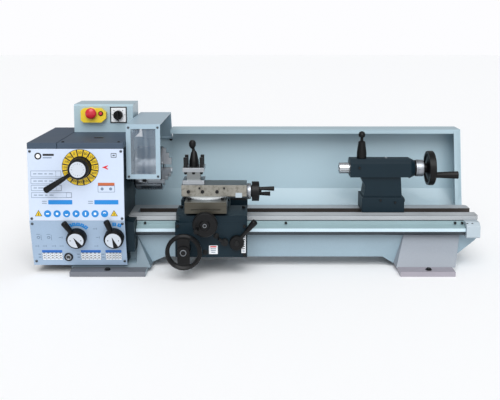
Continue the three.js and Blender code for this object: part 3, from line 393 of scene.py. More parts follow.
# ---- Shapes --------------------------------------------------------------------------------
@dataclass(frozen=True)
class Place:
    """A spot in the machine and the ways a shape's own x, y and z point there."""

    origin: Vec3 = (0.0, 0.0, 0.0)
    x: Vec3 = (1.0, 0.0, 0.0)
    y: Vec3 = (0.0, 1.0, 0.0)
    z: Vec3 = (0.0, 0.0, 1.0)

    def map(self, points: Points) -> Points:
        """Points of the shape as points of the machine: origin + px*x + py*y + pz*z."""
        return np.asarray(points, float) @ np.array([self.x, self.y, self.z]) + self.origin

    def at(self, x: float, y: float, z: float = 0.0) -> "Place":
        """The same facing, moved by x, y and z along its own directions."""
        spot = self.map(np.array([[x, y, z]]))[0]
        return Place((spot[0], spot[1], spot[2]), self.x, self.y, self.z)

    def turned(self, degrees: float) -> "Place":
        """The same spot, turned about its own z.

        Args:
            degrees: how far, from x towards y.

        Returns:
            The turned place.
        """
        c, s = math.cos(math.radians(degrees)), math.sin(math.radians(degrees))
        x, y = np.array(self.x), np.array(self.y)
        return Place(self.origin, tuple(c * x + s * y), tuple(c * y - s * x), self.z)


def facing_front(x: float, y: float, z: float) -> Place:
    """A place whose z points to the operator and whose y points up."""
    return Place((x, y, z), (1, 0, 0), (0, 0, 1), (0, -1, 0))


def facing_right(x: float, y: float, z: float) -> Place:
    """A place whose z points to the tailstock and whose y points up."""
    return Place((x, y, z), (0, 1, 0), (0, 0, 1), (1, 0, 0))


def facing_left(x: float, y: float, z: float) -> Place:
    """A place whose z points away from the tailstock and whose y points up."""
    return Place((x, y, z), (0, -1, 0), (0, 0, 1), (-1, 0, 0))


def facing_back(x: float, y: float, z: float) -> Place:
    """A place whose z points away from the operator and whose y points up."""
    return Place((x, y, z), (-1, 0, 0), (0, 0, 1), (0, 1, 0))


def facing_up(x: float, y: float, z: float) -> Place:
    """A place whose z points up."""
    return Place((x, y, z))


def grid_faces(rows: int, columns: int, wrap_rows: bool, wrap_columns: bool) -> Faces:
    """The four-cornered faces between neighbours of a grid numbered row by row.

    Args:
        rows: how many rows the grid has.
        columns: how many points a row has.
        wrap_rows: True to join the last row to the first.
        wrap_columns: True to join each row's last point to its first.

    Returns:
        The faces, each as four point numbers.
    """
    i = np.arange(rows if wrap_rows else rows - 1)[:, None]
    j = np.arange(columns if wrap_columns else columns - 1)[None, :]
    ni, nj = (i + 1) % rows, (j + 1) % columns
    corners = np.stack([i * columns + j, ni * columns + j, ni * columns + nj,
                        i * columns + nj], -1)
    return [tuple(f) for f in corners.reshape(-1, 4).tolist()]


def revolved(profile: Sequence[tuple[float, float]], sides: int = 48,
             ring: bool = False) -> tuple[Points, Faces]:
    """A profile turned about z: (r cos a, r sin a, h) for every angle a and point (r, h).

    Args:
        profile: radius and height of each point; a solid starts and ends on the axis.
        sides: steps round the axis.
        ring: True if the profile is a closed loop off the axis.

    Returns:
        Points and faces.
    """
    outline = np.array(profile, float)
    angle = np.linspace(0, 2 * math.pi, sides, endpoint=False)[:, None]
    radius, height = outline[None, :, 0], outline[None, :, 1]
    grid = np.stack([radius * np.cos(angle), radius * np.sin(angle),
                     np.broadcast_to(height, (sides, len(outline)))], -1)
    return grid.reshape(-1, 3), grid_faces(sides, len(outline), True, ring)


def extruded(outline: Points, low: float, high: float) -> tuple[Points, Faces]:
    """A flat outline raised from one height to another: (x, y, low) to (x, y, high).

    Args:
        outline: the outline's points, in order.
        low: height of the lower end.
        high: height of the upper end.

    Returns:
        Points and faces, closed at both ends.
    """
    flat = np.asarray(outline, float)
    count = len(flat)
    points = np.concatenate([np.c_[flat, np.full(count, low)], np.c_[flat, np.full(count, high)]])
    ring = np.arange(count)
    after = (ring + 1) % count
    sides = np.stack([ring, after, after + count, ring + count], -1)
    faces = [tuple(f) for f in sides.tolist()]
    return points, [tuple(ring[::-1].tolist()), tuple((ring + count).tolist()), *faces]


def arc(radius: float, start: float, end: float, steps: int) -> Points:
    """Points on a circle about the origin: (r cos a, r sin a).

    Args:
        radius: the circle's radius.
        start: first angle, degrees.
        end: last angle, degrees.
        steps: how many points.

    Returns:
        The points.
    """
    angle = np.radians(np.linspace(start, end, steps))
    return np.c_[radius * np.cos(angle), radius * np.sin(angle)]


def circle(radius: float, steps: int = 40) -> Points:
    """A whole circle about the origin."""
    return arc(radius, 0, 360 * (1 - 1 / steps), steps)


def sector(inner: float, outer: float, start: float, end: float, steps: int = 6) -> Points:
    """The outline between two radii and two angles in degrees."""
    return np.concatenate([arc(outer, start, end, steps), arc(inner, end, start, steps)])


def rounded(width: float, height: float, corner: float = 1.0, steps: int = 4) -> Points:
    """A rectangle about the origin, with a quarter circle at each corner.

    Args:
        width: from side to side.
        height: from bottom to top.
        corner: radius of the corners.
        steps: points in each corner.

    Returns:
        The outline.
    """
    w, h = width / 2 - corner, height / 2 - corner
    corners = [(w, h, 0), (-w, h, 90), (-w, -h, 180), (w, -h, 270)]
    return np.concatenate([arc(corner, a, a + 90, steps) + (x, y) for x, y, a in corners])


def tapered(length: float, start: float, end: float, round_end: float = 0.5
            ) -> list[tuple[float, float]]:
    """A bar's profile: radius from start to end along z, both ends domed as a quarter turn.

    Args:
        length: from end to end, domes included.
        start: radius at z 0.
        end: radius at z length.
        round_end: dome height as a share of the radius.

    Returns:
        The profile for revolved().
    """
    t = np.linspace(0, math.pi / 2, 6)
    low = np.c_[start * np.sin(t), start * round_end * (1 - np.cos(t))]
    high = np.c_[end * np.cos(t), length - end * round_end * (1 - np.sin(t))]
    return [tuple(p) for p in np.concatenate([low, high]).tolist()]


def between(start: Vec3, end: Vec3) -> tuple[Place, float]:
    """A place at one point, facing another.

    Args:
        start: where the place lies.
        end: what its z points to.

    Returns:
        The place, and the distance between the points.
    """
    a, b = np.array(start, float), np.array(end, float)
    z = (b - a) / np.linalg.norm(b - a)
    side = np.cross(z, (0, 0, 1) if abs(z[2]) < 0.9 else (1, 0, 0))
    x = side / np.linalg.norm(side)
    return Place(tuple(a), tuple(x), tuple(np.cross(z, x)), tuple(z)), float(np.linalg.norm(b - a))


@dataclass
class Shape:
    """A growing mesh of closed shells, each with the number of its finish."""

    points: list[Points] = field(default_factory=list)
    faces: Faces = field(default_factory=list)
    finish_numbers: list[int] = field(default_factory=list)
    count: int = 0

    def put(self, made: tuple[Points, Faces], place: Place, finish: int = 0) -> "Shape":
        """Adds one shell.

        Args:
            made: its points and faces.
            place: where it goes.
            finish: number of its finish.

        Returns:
            This shape.
        """
        points, faces = made
        self.points.append(place.map(points))
        self.faces += [tuple(i + self.count for i in face) for face in faces]
        self.finish_numbers += [int(finish)] * len(faces)
        self.count += len(points)
        return self

    def print(self, outline: Points, place: Place, finish: int, layer: int = 1) -> "Shape":
        """Adds a printed patch on a face: a film, thicker for each layer it lies over."""
        return self.put(extruded(outline, 0.02, FILM * layer), place, finish)

    def bar(self, start: Vec3, end: Vec3, radii: tuple[float, float], finish: int = 0,
            sides: int = 24) -> "Shape":
        """Adds a round bar with domed ends between two points."""
        place, length = between(start, end)
        return self.put(revolved(tapered(length, *radii), sides), place, finish)


def tidy_mesh(mesh: bpy.types.Mesh, flatten: bool, outwards: bool) -> None:
    """Merges corners that meet, joins flat triangles and turns faces outwards.

    Args:
        mesh: the mesh to tidy.
        flatten: True to join coplanar triangles into whole faces.
        outwards: True to recalculate which way faces point.
    """
    work = bmesh.new()
    work.from_mesh(mesh)
    bmesh.ops.remove_doubles(work, verts=work.verts, dist=2e-6)
    bmesh.ops.dissolve_degenerate(work, edges=work.edges, dist=1e-6)
    if flatten:
        bmesh.ops.dissolve_limit(work, angle_limit=math.radians(0.4), verts=work.verts,
                                 edges=work.edges)
    if outwards:
        bmesh.ops.recalc_face_normals(work, faces=work.faces)
    work.to_mesh(mesh)
    work.free()
    mesh.shade_smooth()
    mesh.set_sharp_from_angle(angle=math.radians(CREASE))


def soften(piece: bpy.types.Object, width: float, segments: int = 2) -> None:
    """Rounds a piece's sharp edges, so that they catch the light.

    Args:
        piece: the piece.
        width: of the rounding, mm.
        segments: steps across it.
    """
    bevel = piece.modifiers.new("rounded_edges", "BEVEL")
    bevel.width = width / METRE
    bevel.segments = segments
    bevel.limit_method = "ANGLE"
    bevel.angle_limit = math.radians(CREASE)
    bevel.harden_normals = True


def make_piece(name: str, shape: Shape, finishes: Sequence[Finish], body: str,
               stands_for: Sequence[str] = (), edge: float = 0.0) -> bpy.types.Object:
    """Makes an object of a shape and rides it on a body.

    Args:
        name: the piece's name.
        shape: its mesh.
        finishes: what the shape's finish numbers stand for.
        body: the CAD body it moves with.
        stands_for: CAD nodes it replaces.
        edge: width of its rounded edges, mm, 0 for none.

    Returns:
        The new object.
    """
    mesh = bpy.data.meshes.new(name)
    points = (np.concatenate(shape.points) + DATUM) / METRE
    mesh.from_pydata(points.tolist(), [], shape.faces)
    mesh.polygons.foreach_set("material_index", shape.finish_numbers)
    for finish in finishes:
        mesh.materials.append(finish.material())
    tidy_mesh(mesh, flatten=False, outwards=True)
    piece = bpy.data.objects.new(name, mesh)
    bpy.context.scene.collection.objects.link(piece)
    if edge:
        soften(piece, edge)
    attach(piece, body)
    if stands_for:
        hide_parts(*stands_for)
    return piece


def body_of_node(node: str) -> str:
    """The body a CAD node belongs to."""
    return next(b for b, nodes in frame["record"]["behaviour"]["bodies"].items() if node in nodes)


def slot_of_node(node: str) -> str:
    """The record's material slot of a CAD node."""
    return next(s["material_slot"] for s in frame["record"]["subparts"] if s["node"] == node)


def dress(node: str, edge: float = 0.8, finish: Finish | None = None,
          regions: Sequence[tuple[Test, Finish]] = ()) -> bpy.types.Object:
    """Makes the finished copy of a CAD node: merged, smooth where round, edges softened.

    Args:
        node: the CAD node.
        edge: width of the rounded edges, mm, 0 for none.
        finish: its surface, or the one of its slot.
        regions: tests on (face centres in mm, face normals) and the finish where one holds.

    Returns:
        The copy, which stands for the node.
    """
    mesh = frame["nodes"][node].data.copy()
    mesh.name = f"{node}_finished"
    mesh.materials.clear()
    mesh.materials.append((finish or SLOT_FINISH[slot_of_node(node)]).material())
    tidy_mesh(mesh, flatten=True, outwards=False)
    count = len(mesh.polygons)
    centres, normals = np.zeros(count * 3), np.zeros(count * 3)
    mesh.polygons.foreach_get("center", centres)
    mesh.polygons.foreach_get("normal", normals)
    centres = centres.reshape(-1, 3) * METRE - DATUM
    chosen = np.zeros(count, int)
    for number, (test, other) in enumerate(regions, 1):
        mesh.materials.append(other.material())
        chosen[test(centres, normals.reshape(-1, 3))] = number
    mesh.polygons.foreach_set("material_index", chosen)
    piece = bpy.data.objects.new(f"{node}_finished", mesh)
    bpy.context.scene.collection.objects.link(piece)
    if edge:
        soften(piece, edge)
    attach(piece, body_of_node(node))
    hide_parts(node)
    return piece


# ---- Small hardware ------------------------------------------------------------------------
class Head(Enum):
    """Kinds of screw head."""

    PAN_CROSS = "domed, cross recess"
    CAP_SOCKET = "cylinder, six-sided socket"
    HEX = "six-sided"


def screw(shape: Shape, place: Place, radius: float, head: Head, finish: int = 0,
          dark: int = 1) -> None:
    """Adds a screw head standing on a face.

    Args:
        shape: the mesh it joins.
        place: the face, z outwards.
        radius: of the head, mm.
        head: its kind.
        finish: number of the head's finish.
        dark: number of the finish in its recess, a black painted shade in the cross or socket.
    """
    if head is Head.PAN_CROSS:
        t = np.linspace(0, math.pi / 2, 6)
        dome = np.c_[radius * np.cos(t), 0.15 * radius + 0.4 * radius * np.sin(t)]
        profile = [(0.0, -0.3), (radius, -0.3), *map(tuple, dome.tolist())]
        shape.put(revolved(profile, 20), place, finish)
        # The cross recess is drawn as a raised black cross: painted shade.
        for turn in (0, 90):
            shape.put(extruded(rounded(radius * 1.1, radius * 0.24, 0.02), 0.3 * radius,
                               0.6 * radius), place.turned(turn + 20), dark)
        return
    height = radius * (1.1 if head is Head.CAP_SOCKET else 0.75)
    rim = radius * 0.12
    if head is Head.CAP_SOCKET:
        socket = radius * 0.5
        profile = [(0.0, -0.3), (radius, -0.3), (radius, height - rim), (radius - rim, height),
                   (socket, height), (socket, height * 0.55), (0.0, height * 0.55)]
        shape.put(revolved(profile, 24), place, finish)
        # The socket's floor is a black plate: painted shade.
        shape.put(extruded(circle(socket * 0.96, 6), height * 0.5, height * 0.6), place, dark)
        return
    shape.put(revolved([(0.0, -0.3), (radius * 1.25, -0.3), (radius * 1.25, 1.2), (0.0, 1.2)],
                       24), place, finish)
    shape.put(revolved([(0.0, 1.0), (radius, 1.0), (radius, height - rim),
                        (radius * 0.86, height), (0.0, height)], 6), place, finish)


def graduations(shape: Shape, place: Place, radius: float, depth: float, count: int,
                finish: int, low: float, width: float = 0.7, long_every: int = 5) -> None:
    """Adds engraved lines round a scale ring.

    Args:
        shape: the mesh they join.
        place: the ring's axis, z along it.
        radius: the ring's radius, mm.
        depth: how long a short line is, mm.
        count: lines round the ring.
        finish: number of their finish.
        low: where the lines start along the axis.
        width: of a line, mm.
        long_every: every so many lines one is longer.
    """
    for i in range(count):
        long = depth * (1.7 if i % long_every == 0 else 1.0)
        spot = place.turned(i * 360 / count)
        line = np.array([[radius - 0.3, -width / 2], [radius + 0.12, -width / 2],
                         [radius + 0.12, width / 2], [radius - 0.3, width / 2]])
        shape.put(extruded(line, low, low + long), spot, finish)


def lettered(text: str, size: float, place: Place, shape: Shape, finish: int,
             layer: int = 3) -> None:
    """Adds printed figures, centred on a place, from the built-in plain face.

    Args:
        text: the figures.
        size: their height, mm.
        place: where, z outwards and y up.
        shape: the mesh they join.
        finish: number of their finish.
        layer: how many films they lie over.
    """
    curve = bpy.data.curves.new("figures", "FONT")
    curve.body = text
    curve.size = size * 1.35
    curve.align_x, curve.align_y = "CENTER", "CENTER"
    curve.extrude = FILM / 2
    curve.resolution_u = 3
    holder = bpy.data.objects.new("figures", curve)
    bpy.context.scene.collection.objects.link(holder)
    mesh = bpy.data.meshes.new_from_object(
        holder.evaluated_get(bpy.context.evaluated_depsgraph_get()))
    points = np.zeros(len(mesh.vertices) * 3)
    mesh.vertices.foreach_get("co", points)
    faces = [tuple(p.vertices) for p in mesh.polygons]
    points = points.reshape(-1, 3) + (0, 0, FILM * layer - FILM / 2)
    shape.put((points, faces), place, finish)
    bpy.data.objects.remove(holder)
    bpy.data.curves.remove(curve)
    bpy.data.meshes.remove(mesh)


# ---- Bed -----------------------------------------------------------------------------------
@dataclass
class Bed:
    """The cast bed with its ground ways, feet, leadscrew cover and fasteners."""

    rail_bottom: float = 138.0
    cover_lip: float = -90.0
    cover_screws: tuple[float, ...] = (-302, 95, 572, 592)
    end_screws: tuple[float, ...] = (602, 616)
    foot_bolts: tuple[float, ...] = (-400, 488)
    foot_bolt_y: float = 130.0
    foot_top: float = 14.0

    def build(self) -> None:
        """Dresses the castings and adds the screws and bolts."""
        dress("bed", 1.2, CAST_ENAMEL, [
            # The sloping flares, the left foot's slope and the left foot's plate carry painted
            # shade.
            (self.is_web, WEB_ENAMEL), (self.is_flare, FLARE_PAINTED_SHADE),
            (self.is_left_flare, FLARE_SHADED), (self.is_foot, FOOT_ENAMEL),
            (self.is_left_foot, FOOT_SHADED), (self.is_way, GROUND_WAYS),
            # The wall between the ways is painted dark: painted shade for the gap.
            (self.is_gap, GAP_PAINTED_SHADE)])
        dress("rack", 0.0)
        # The cover's lip carries a painted highlight.
        dress("leadscrew_cover", 0.5, COVER_COAT, [(self.is_lip, COVER_LIP_HIGHLIGHT)])
        dress("leadscrew_bracket", 1.5, BRACKET_COAT)
        # The leadscrew's dark steel is painted shade from the cover over it.
        dress("leadscrew", 0.0, TURNED_SCREW)
        self.fasteners()

    def is_way(self, centres: Points, _normals: Points) -> Points:
        """True on the ground rails, above their undersides."""
        return centres[:, 2] > self.rail_bottom + 0.5

    def is_web(self, centres: Points, normals: Points) -> Points:
        """True on the bed's sides, between the feet's plates and the rails."""
        height = centres[:, 2]
        return (abs(normals[:, 2]) < 0.9) & (height < self.rail_bottom) & (height > self.foot_top)

    def is_flare(self, centres: Points, normals: Points) -> Points:
        """True on the sloping sides of the feet, which take painted shade."""
        return self.is_web(centres, normals) & (normals[:, 2] > 0.12)

    def is_left_flare(self, centres: Points, normals: Points) -> Points:
        """True on the sloping sides of the foot under the headstock."""
        return self.is_flare(centres, normals) & (centres[:, 0] < 0)

    def is_gap(self, centres: Points, normals: Points) -> Points:
        """True on the wall between the ways that faces the operator, which takes painted shade."""
        y, z = centres[:, 1], centres[:, 2]
        return (normals[:, 1] < -0.7) & (y > 0) & (y < 40) & (z > 100)

    def is_foot(self, centres: Points, _normals: Points) -> Points:
        """True on the feet's plates."""
        return centres[:, 2] < self.foot_top + 0.5

    def is_left_foot(self, centres: Points, normals: Points) -> Points:
        """True on the plate of the foot under the headstock."""
        return self.is_foot(centres, normals) & (centres[:, 0] < 0)

    def is_lip(self, centres: Points, _normals: Points) -> Points:
        """True on the leadscrew cover's upright lip, which carries the painted highlight."""
        return centres[:, 1] < self.cover_lip

    def fasteners(self) -> None:
        """Adds screws on the cover and bracket, and bolts through the feet."""
        shape = Shape()
        for x in self.cover_screws:
            screw(shape, facing_front(x, -73.0, 132.0), 3.6, Head.CAP_SOCKET)
        for x in self.end_screws:
            screw(shape, facing_front(x, -88.5, 132.5).at(0, 0, 0.4), 3.4, Head.CAP_SOCKET)
        for x in self.foot_bolts:
            for side in (-1, 1):
                screw(shape, facing_up(x, side * self.foot_bolt_y, self.foot_top), 7.0,
                      Head.HEX)
        make_piece("bed_fasteners", shape, [BLACK_OXIDE, INK_BLACK], "root")


# ---- Headstock -----------------------------------------------------------------------------
class UpperInk(IntEnum):
    """The upper panel's inks, numbered as in UpperPanel.INKS."""

    YELLOW = 0
    BLACK = 1
    BLUE = 2
    WHITE = 3
    ORANGE = 4
    RED = 5
    GREY = 6
    PANEL = 7


class LowerInk(IntEnum):
    """The lower panel's inks, numbered as in LowerPanel.INKS."""

    NAVY = 0
    BLUE = 1
    GREY = 2
    WHITE = 3
    BLACK = 4
    PANEL = 5


@dataclass
class UpperPanel:
    """The printed front panel: speed dial, tables, symbols and screws. Figures only."""

    front: float = -150.0
    dial: tuple[float, float] = (-463.5, 305.0)
    dial_radius: float = 50.0
    figure_radius: float = 40.5
    speeds: tuple[str, ...] = ("50", "80", "125", "200", "320", "400", "500", "630", "800",
                               "950", "1100", "1300", "1500", "1700", "2000", "0")
    symbol_xs: tuple[float, ...] = (-555.6, -529.8, -504.0, -478.2, -452.4, -426.6, -400.8)
    symbol_z: float = 177.4

    INKS = (INK_YELLOW, INK_BLACK, INK_BLUE, INK_WHITE, INK_ORANGE, INK_RED, INK_GREY,
            PANEL_WHITE)

    def build(self) -> None:
        """Prints everything as one piece, then adds the screws."""
        dress("front_panel", 0.6)
        shape = Shape()
        self.speed_dial(shape)
        self.tables(shape)
        self.symbols(shape)
        self.marks(shape)
        make_piece("upper_panel_print", shape, self.INKS, "root")
        screws = Shape()
        for x, z in ((-599, 349), (-353.5, 349), (-599, 164), (-353.5, 164)):
            screw(screws, self.spot(x, z), 3.8, Head.PAN_CROSS)
        make_piece("upper_panel_screws", screws, [ZINC_PLATE, INK_BLACK], "root")

    def spot(self, x: float, z: float) -> Place:
        """A place on the panel's face."""
        return facing_front(x, self.front, z)

    def box_line(self, shape: Shape, x: tuple[float, float], z: tuple[float, float],
                 line: float = 1.1) -> None:
        """Prints an outlined grey box: four thin bars.

        Args:
            shape: the mesh it joins.
            x: its left and right edges.
            z: its bottom and top edges.
            line: width of the bars, mm.
        """
        w, h = x[1] - x[0], z[1] - z[0]
        middle = self.spot((x[0] + x[1]) / 2, (z[0] + z[1]) / 2)
        for side in (-1, 1):
            shape.print(rounded(w, line, 0.1), middle.at(0, side * h / 2),
                        UpperInk.GREY)
            shape.print(rounded(line, h, 0.1), middle.at(side * w / 2, 0),
                        UpperInk.GREY)

    def speed_dial(self, shape: Shape) -> None:
        """Prints a yellow ring of sixteen fields with a speed in each.

        Args:
            shape: the mesh they join.
        """
        centre = self.spot(*self.dial)
        count = len(self.speeds)
        step = 360 / count
        shape.print(circle(self.dial_radius, 64), centre, UpperInk.BLACK)
        for i, speed in enumerate(self.speeds):
            middle = 90 - i * step
            shape.print(sector(31, self.dial_radius - 1.3, middle - step / 2 + 2.2,
                               middle + step / 2 - 2.2), centre, UpperInk.YELLOW, 2)
            a = math.radians(middle)
            lettered(speed, 6.0 if len(speed) > 3 else 7.4,
                     centre.at(self.figure_radius * math.cos(a), self.figure_radius * math.sin(a)),
                     shape, UpperInk.BLACK)

    def tables(self, shape: Shape) -> None:
        """Prints outlined boxes with short rows of dashes and the coloured bars.

        Args:
            shape: the mesh they join.
        """
        left = -597.8
        for z0, z1, right in ((279.3, 295.6, -516.2), (260.3, 275.2, -516.2),
                              (241.3, 256.2, -516.2), (222.2, 235.8, -489.1)):
            self.box_line(shape, (left, right), (z0, z1))
            self.box_line(shape, (right - 14, right), (z0, z1), line=0.8)
            middle = (z0 + z1) / 2
            for i, width in enumerate((9, 13, 7, 11)):
                shape.print(rounded(width, 2.2, 0.4),
                            self.spot(left + 11 + i * 14.5, middle), UpperInk.GREY)
        self.box_line(shape, (-417.1, -372.2), (237.2, 254.8))
        shape.print(rounded(44.9, 8.2, 0.5), self.spot(-394.6, 258.9), UpperInk.ORANGE)
        for x, points in ((-406, 3), (-383, 4)):
            shape.print(circle(4.2, points * 4), self.spot(x, 246), UpperInk.GREY)
        for x0, x1 in ((-552.9, -487.7), (-427.9, -362.7)):
            shape.print(rounded(x1 - x0, 12.2, 1.0), self.spot((x0 + x1) / 2, 209.3),
                        UpperInk.BLUE)
            for row in (206.5, 212):
                shape.print(rounded(13, 1.8, 0.4), self.spot(x0 - 10.5, row),
                            UpperInk.GREY)

    def symbols(self, shape: Shape) -> None:
        """Prints seven blue discs with plain white shapes, between two yellow triangles.

        Args:
            shape: the mesh they join.
        """
        white = [rounded(8, 3, 0.6), circle(3.4, 20), sector(1.6, 4.6, 200, 340), circle(4.2, 3),
                 rounded(3, 9, 0.8), rounded(6.5, 6.5, 1.5), sector(2.2, 4.6, 20, 160)]
        for x, form in zip(self.symbol_xs, white):
            place = self.spot(x, self.symbol_z)
            shape.print(circle(9.9, 40), place, UpperInk.BLUE)
            shape.print(form, place, UpperInk.WHITE, 3)
        for x in (-580.1, -375.0):
            place = self.spot(x, self.symbol_z - 1).turned(90)
            shape.print(circle(11.5, 3), place, UpperInk.BLACK)
            shape.print(circle(9.0, 3), place, UpperInk.YELLOW, 2)
            shape.print(rounded(6.5, 1.7, 0.3), place, UpperInk.BLACK, 3)

    def marks(self, shape: Shape) -> None:
        """Prints a plain disc-and-bars mark, a small open square and the dial's pointer.

        Args:
            shape: the mesh they join.
        """
        place = self.spot(-577, 336)
        shape.print(circle(9.5, 40), place, UpperInk.BLACK)
        shape.print(circle(5.5, 40), place, UpperInk.WHITE, 2)
        shape.print(rounded(30, 5.6, 1), self.spot(-549, 339.5), UpperInk.BLACK)
        shape.print(rounded(24, 2.6, 1), self.spot(-552, 331.5), UpperInk.GREY)
        corner = self.spot(-373, 338)
        shape.print(rounded(15, 12, 1), corner, UpperInk.BLACK)
        shape.print(rounded(12, 9, 0.6), corner, UpperInk.PANEL, 2)
        shape.print(rounded(6, 3, 0.6), corner, UpperInk.BLACK, 3)
        arrow = np.array([[-8.5, 0], [7.5, 6.2], [7.5, 3.6], [2.5, 0], [7.5, -3.6], [7.5, -6.2]])
        shape.print(arrow[::-1], self.spot(-396.5, 305.1), UpperInk.RED)


@dataclass
class LowerPanel:
    """The lower printed panel, which leans back, with its tables and oil sight glass."""

    top: float = 158.0
    foot: float = 24.0
    lean: float = 32.0
    face_at_top: float = -150.0
    levers: tuple[tuple[float, float], ...] = ((-479, 111), (-377, 111))
    tile_radius: float = 37.5

    INKS = (INK_NAVY, INK_BLUE, INK_GREY, INK_WHITE, INK_BLACK, PANEL_GREY)

    def spot(self, x: float, z: float) -> Place:
        """A place on the leaning face.

        Args:
            x: along the bed, mm.
            z: height, mm.

        Returns:
            The place, z out of the face and y up along it.
        """
        a = math.atan2(self.lean, self.top - self.foot)
        y = self.face_at_top + self.lean * (self.top - z) / (self.top - self.foot)
        return Place((x, y, z), (1, 0, 0), (0, -math.sin(a), math.cos(a)),
                     (0, -math.cos(a), -math.sin(a)))

    def build(self) -> None:
        """Prints the panel, adds its screws and the sight glass."""
        dress("feed_panel", 0.6)
        shape = Shape()
        self.tiles(shape)
        self.diagrams(shape)
        self.tables(shape)
        make_piece("lower_panel_print", shape, self.INKS, "root")
        screws = Shape()
        for x, z in ((-599, 149), (-353.5, 149), (-598, 36), (-353.5, 36)):
            screw(screws, self.spot(x, z), 3.8, Head.PAN_CROSS)
        glass = self.spot(-507.8, 49)
        screws.put(revolved([(8.2, -0.2), (12.4, -0.2), (12.4, 2.4), (11.6, 3.2), (8.6, 3.2),
                             (8.2, 2.6)], 40, ring=True), glass, 3)
        screws.put(revolved([(5.0, -0.2), (8.3, -0.2), (8.3, 3.0), (7.4, 3.8), (5.8, 3.4),
                             (5.0, 2.6)], 40, ring=True), glass, 4)
        dome = [(0.0, -0.2), (5.1, -0.2), (5.1, 1.4), (4.0, 2.0), (2.2, 2.5), (0.0, 2.7)]
        screws.put(revolved(dome, 32), glass, 2)
        make_piece("lower_panel_screws", screws,
                   [ZINC_PLATE, INK_BLACK, OIL_GLASS, BLACK_OXIDE, BRIGHT_STEEL], "root")

    def tiles(self, shape: Shape) -> None:
        """Prints blue position tiles on an arc over each lever.

        Args:
            shape: the mesh they join.
        """
        for (x, z), angles in zip(self.levers, ((118, 100.5, 83, 65.5, 48), (88, 66))):
            for angle in angles:
                a = math.radians(angle)
                place = self.spot(x, z).at(self.tile_radius * math.cos(a),
                                           self.tile_radius * math.sin(a)).turned(angle - 90)
                shape.print(rounded(10.4, 10.4, 1), place, LowerInk.BLUE)
                shape.print(rounded(1.4, 5.0, 0.3), place, LowerInk.PANEL, 2)

    def diagrams(self, shape: Shape) -> None:
        """Prints two small grey arrows-and-circle diagrams and position dots.

        Args:
            shape: the mesh they join.
        """
        for x in (-586, -558):
            place = self.spot(x, 108)
            shape.print(circle(4.4, 24), place, LowerInk.GREY)
            shape.print(circle(2.4, 24), place, LowerInk.PANEL, 2)
            shape.print(rounded(1.3, 17, 0.3), place.at(7.5, 0), LowerInk.GREY)
            shape.print(rounded(10, 1.3, 0.3), place.at(0, 9.5), LowerInk.GREY)
        for x, z in ((-594, 82), (-573, 82), (-548, 82), (-527, 82), (-527, 108), (-431, 82),
                     (-425, 108), (-431, 134)):
            shape.print(rounded(7, 1.5, 0.3), self.spot(x, z), LowerInk.GREY)
            shape.print(rounded(1.5, 6, 0.3), self.spot(x + 6, z), LowerInk.GREY)

    def tables(self, shape: Shape) -> None:
        """Prints three tables: a dark blue head over a pale grid.

        Args:
            shape: the mesh they join.
        """
        for x0, x1 in ((-580, -524.3), (-473, -418), (-405, -361)):
            width, middle = x1 - x0, (x0 + x1) / 2
            shape.print(rounded(width, 7.5, 0.5), self.spot(middle, 66), LowerInk.NAVY)
            for row in (48, 57):
                shape.print(rounded(7, 3, 0.3), self.spot(x0 - 7, row), LowerInk.GREY)
            shape.print(rounded(width, 21, 0.5), self.spot(middle, 50.5), LowerInk.WHITE)
            for row in (43.5, 50.5, 57.5):
                shape.print(rounded(width, 0.9, 0.1), self.spot(middle, row), LowerInk.GREY, 2)
                for i in range(5):
                    place = self.spot(x0 + (i + 0.5) * width / 5, row + 3)
                    shape.print(rounded(width / 9, 2, 0.3), place, LowerInk.BLACK, 2)
            for i in range(6):
                shape.print(rounded(0.9, 21, 0.1), self.spot(x0 + i * width / 5, 50.5),
                            LowerInk.GREY, 2)


@dataclass
class Headstock:
    """The gear housing, lid, end cover and both printed panels."""

    lid_top: float = 372.0
    cover_left: float = -606.0

    def build(self) -> None:
        """Dresses the housings and prints the panels."""
        for node, edge in (("headstock_casting", 1.0), ("headstock_lid", 1.6),
                           ("end_cover", 1.6), ("feed_gearbox", 1.0)):
            dress(node, edge)
        UpperPanel().build()
        LowerPanel().build()
        shape = Shape()
        shape.put(extruded(rounded(26, 7, 3), -0.4, 1.2), facing_up(-430, -60, self.lid_top), 0)
        shape.put(extruded(rounded(21, 4, 1.8), 0.4, 1.5), facing_up(-430, -60, self.lid_top), 1)
        for x, y in ((-512, -136), (-361, -136), (-512, 140)):
            screw(shape, facing_up(x, y, self.lid_top), 4.2, Head.PAN_CROSS)
        for z in (92, 300):
            screw(shape, facing_left(self.cover_left, -80, z), 5, Head.PAN_CROSS)
            screw(shape, facing_left(self.cover_left, 120, z), 5, Head.PAN_CROSS)
        make_piece("lid_filler_slot", shape, [BLACK_OXIDE, INK_BLACK], "root")


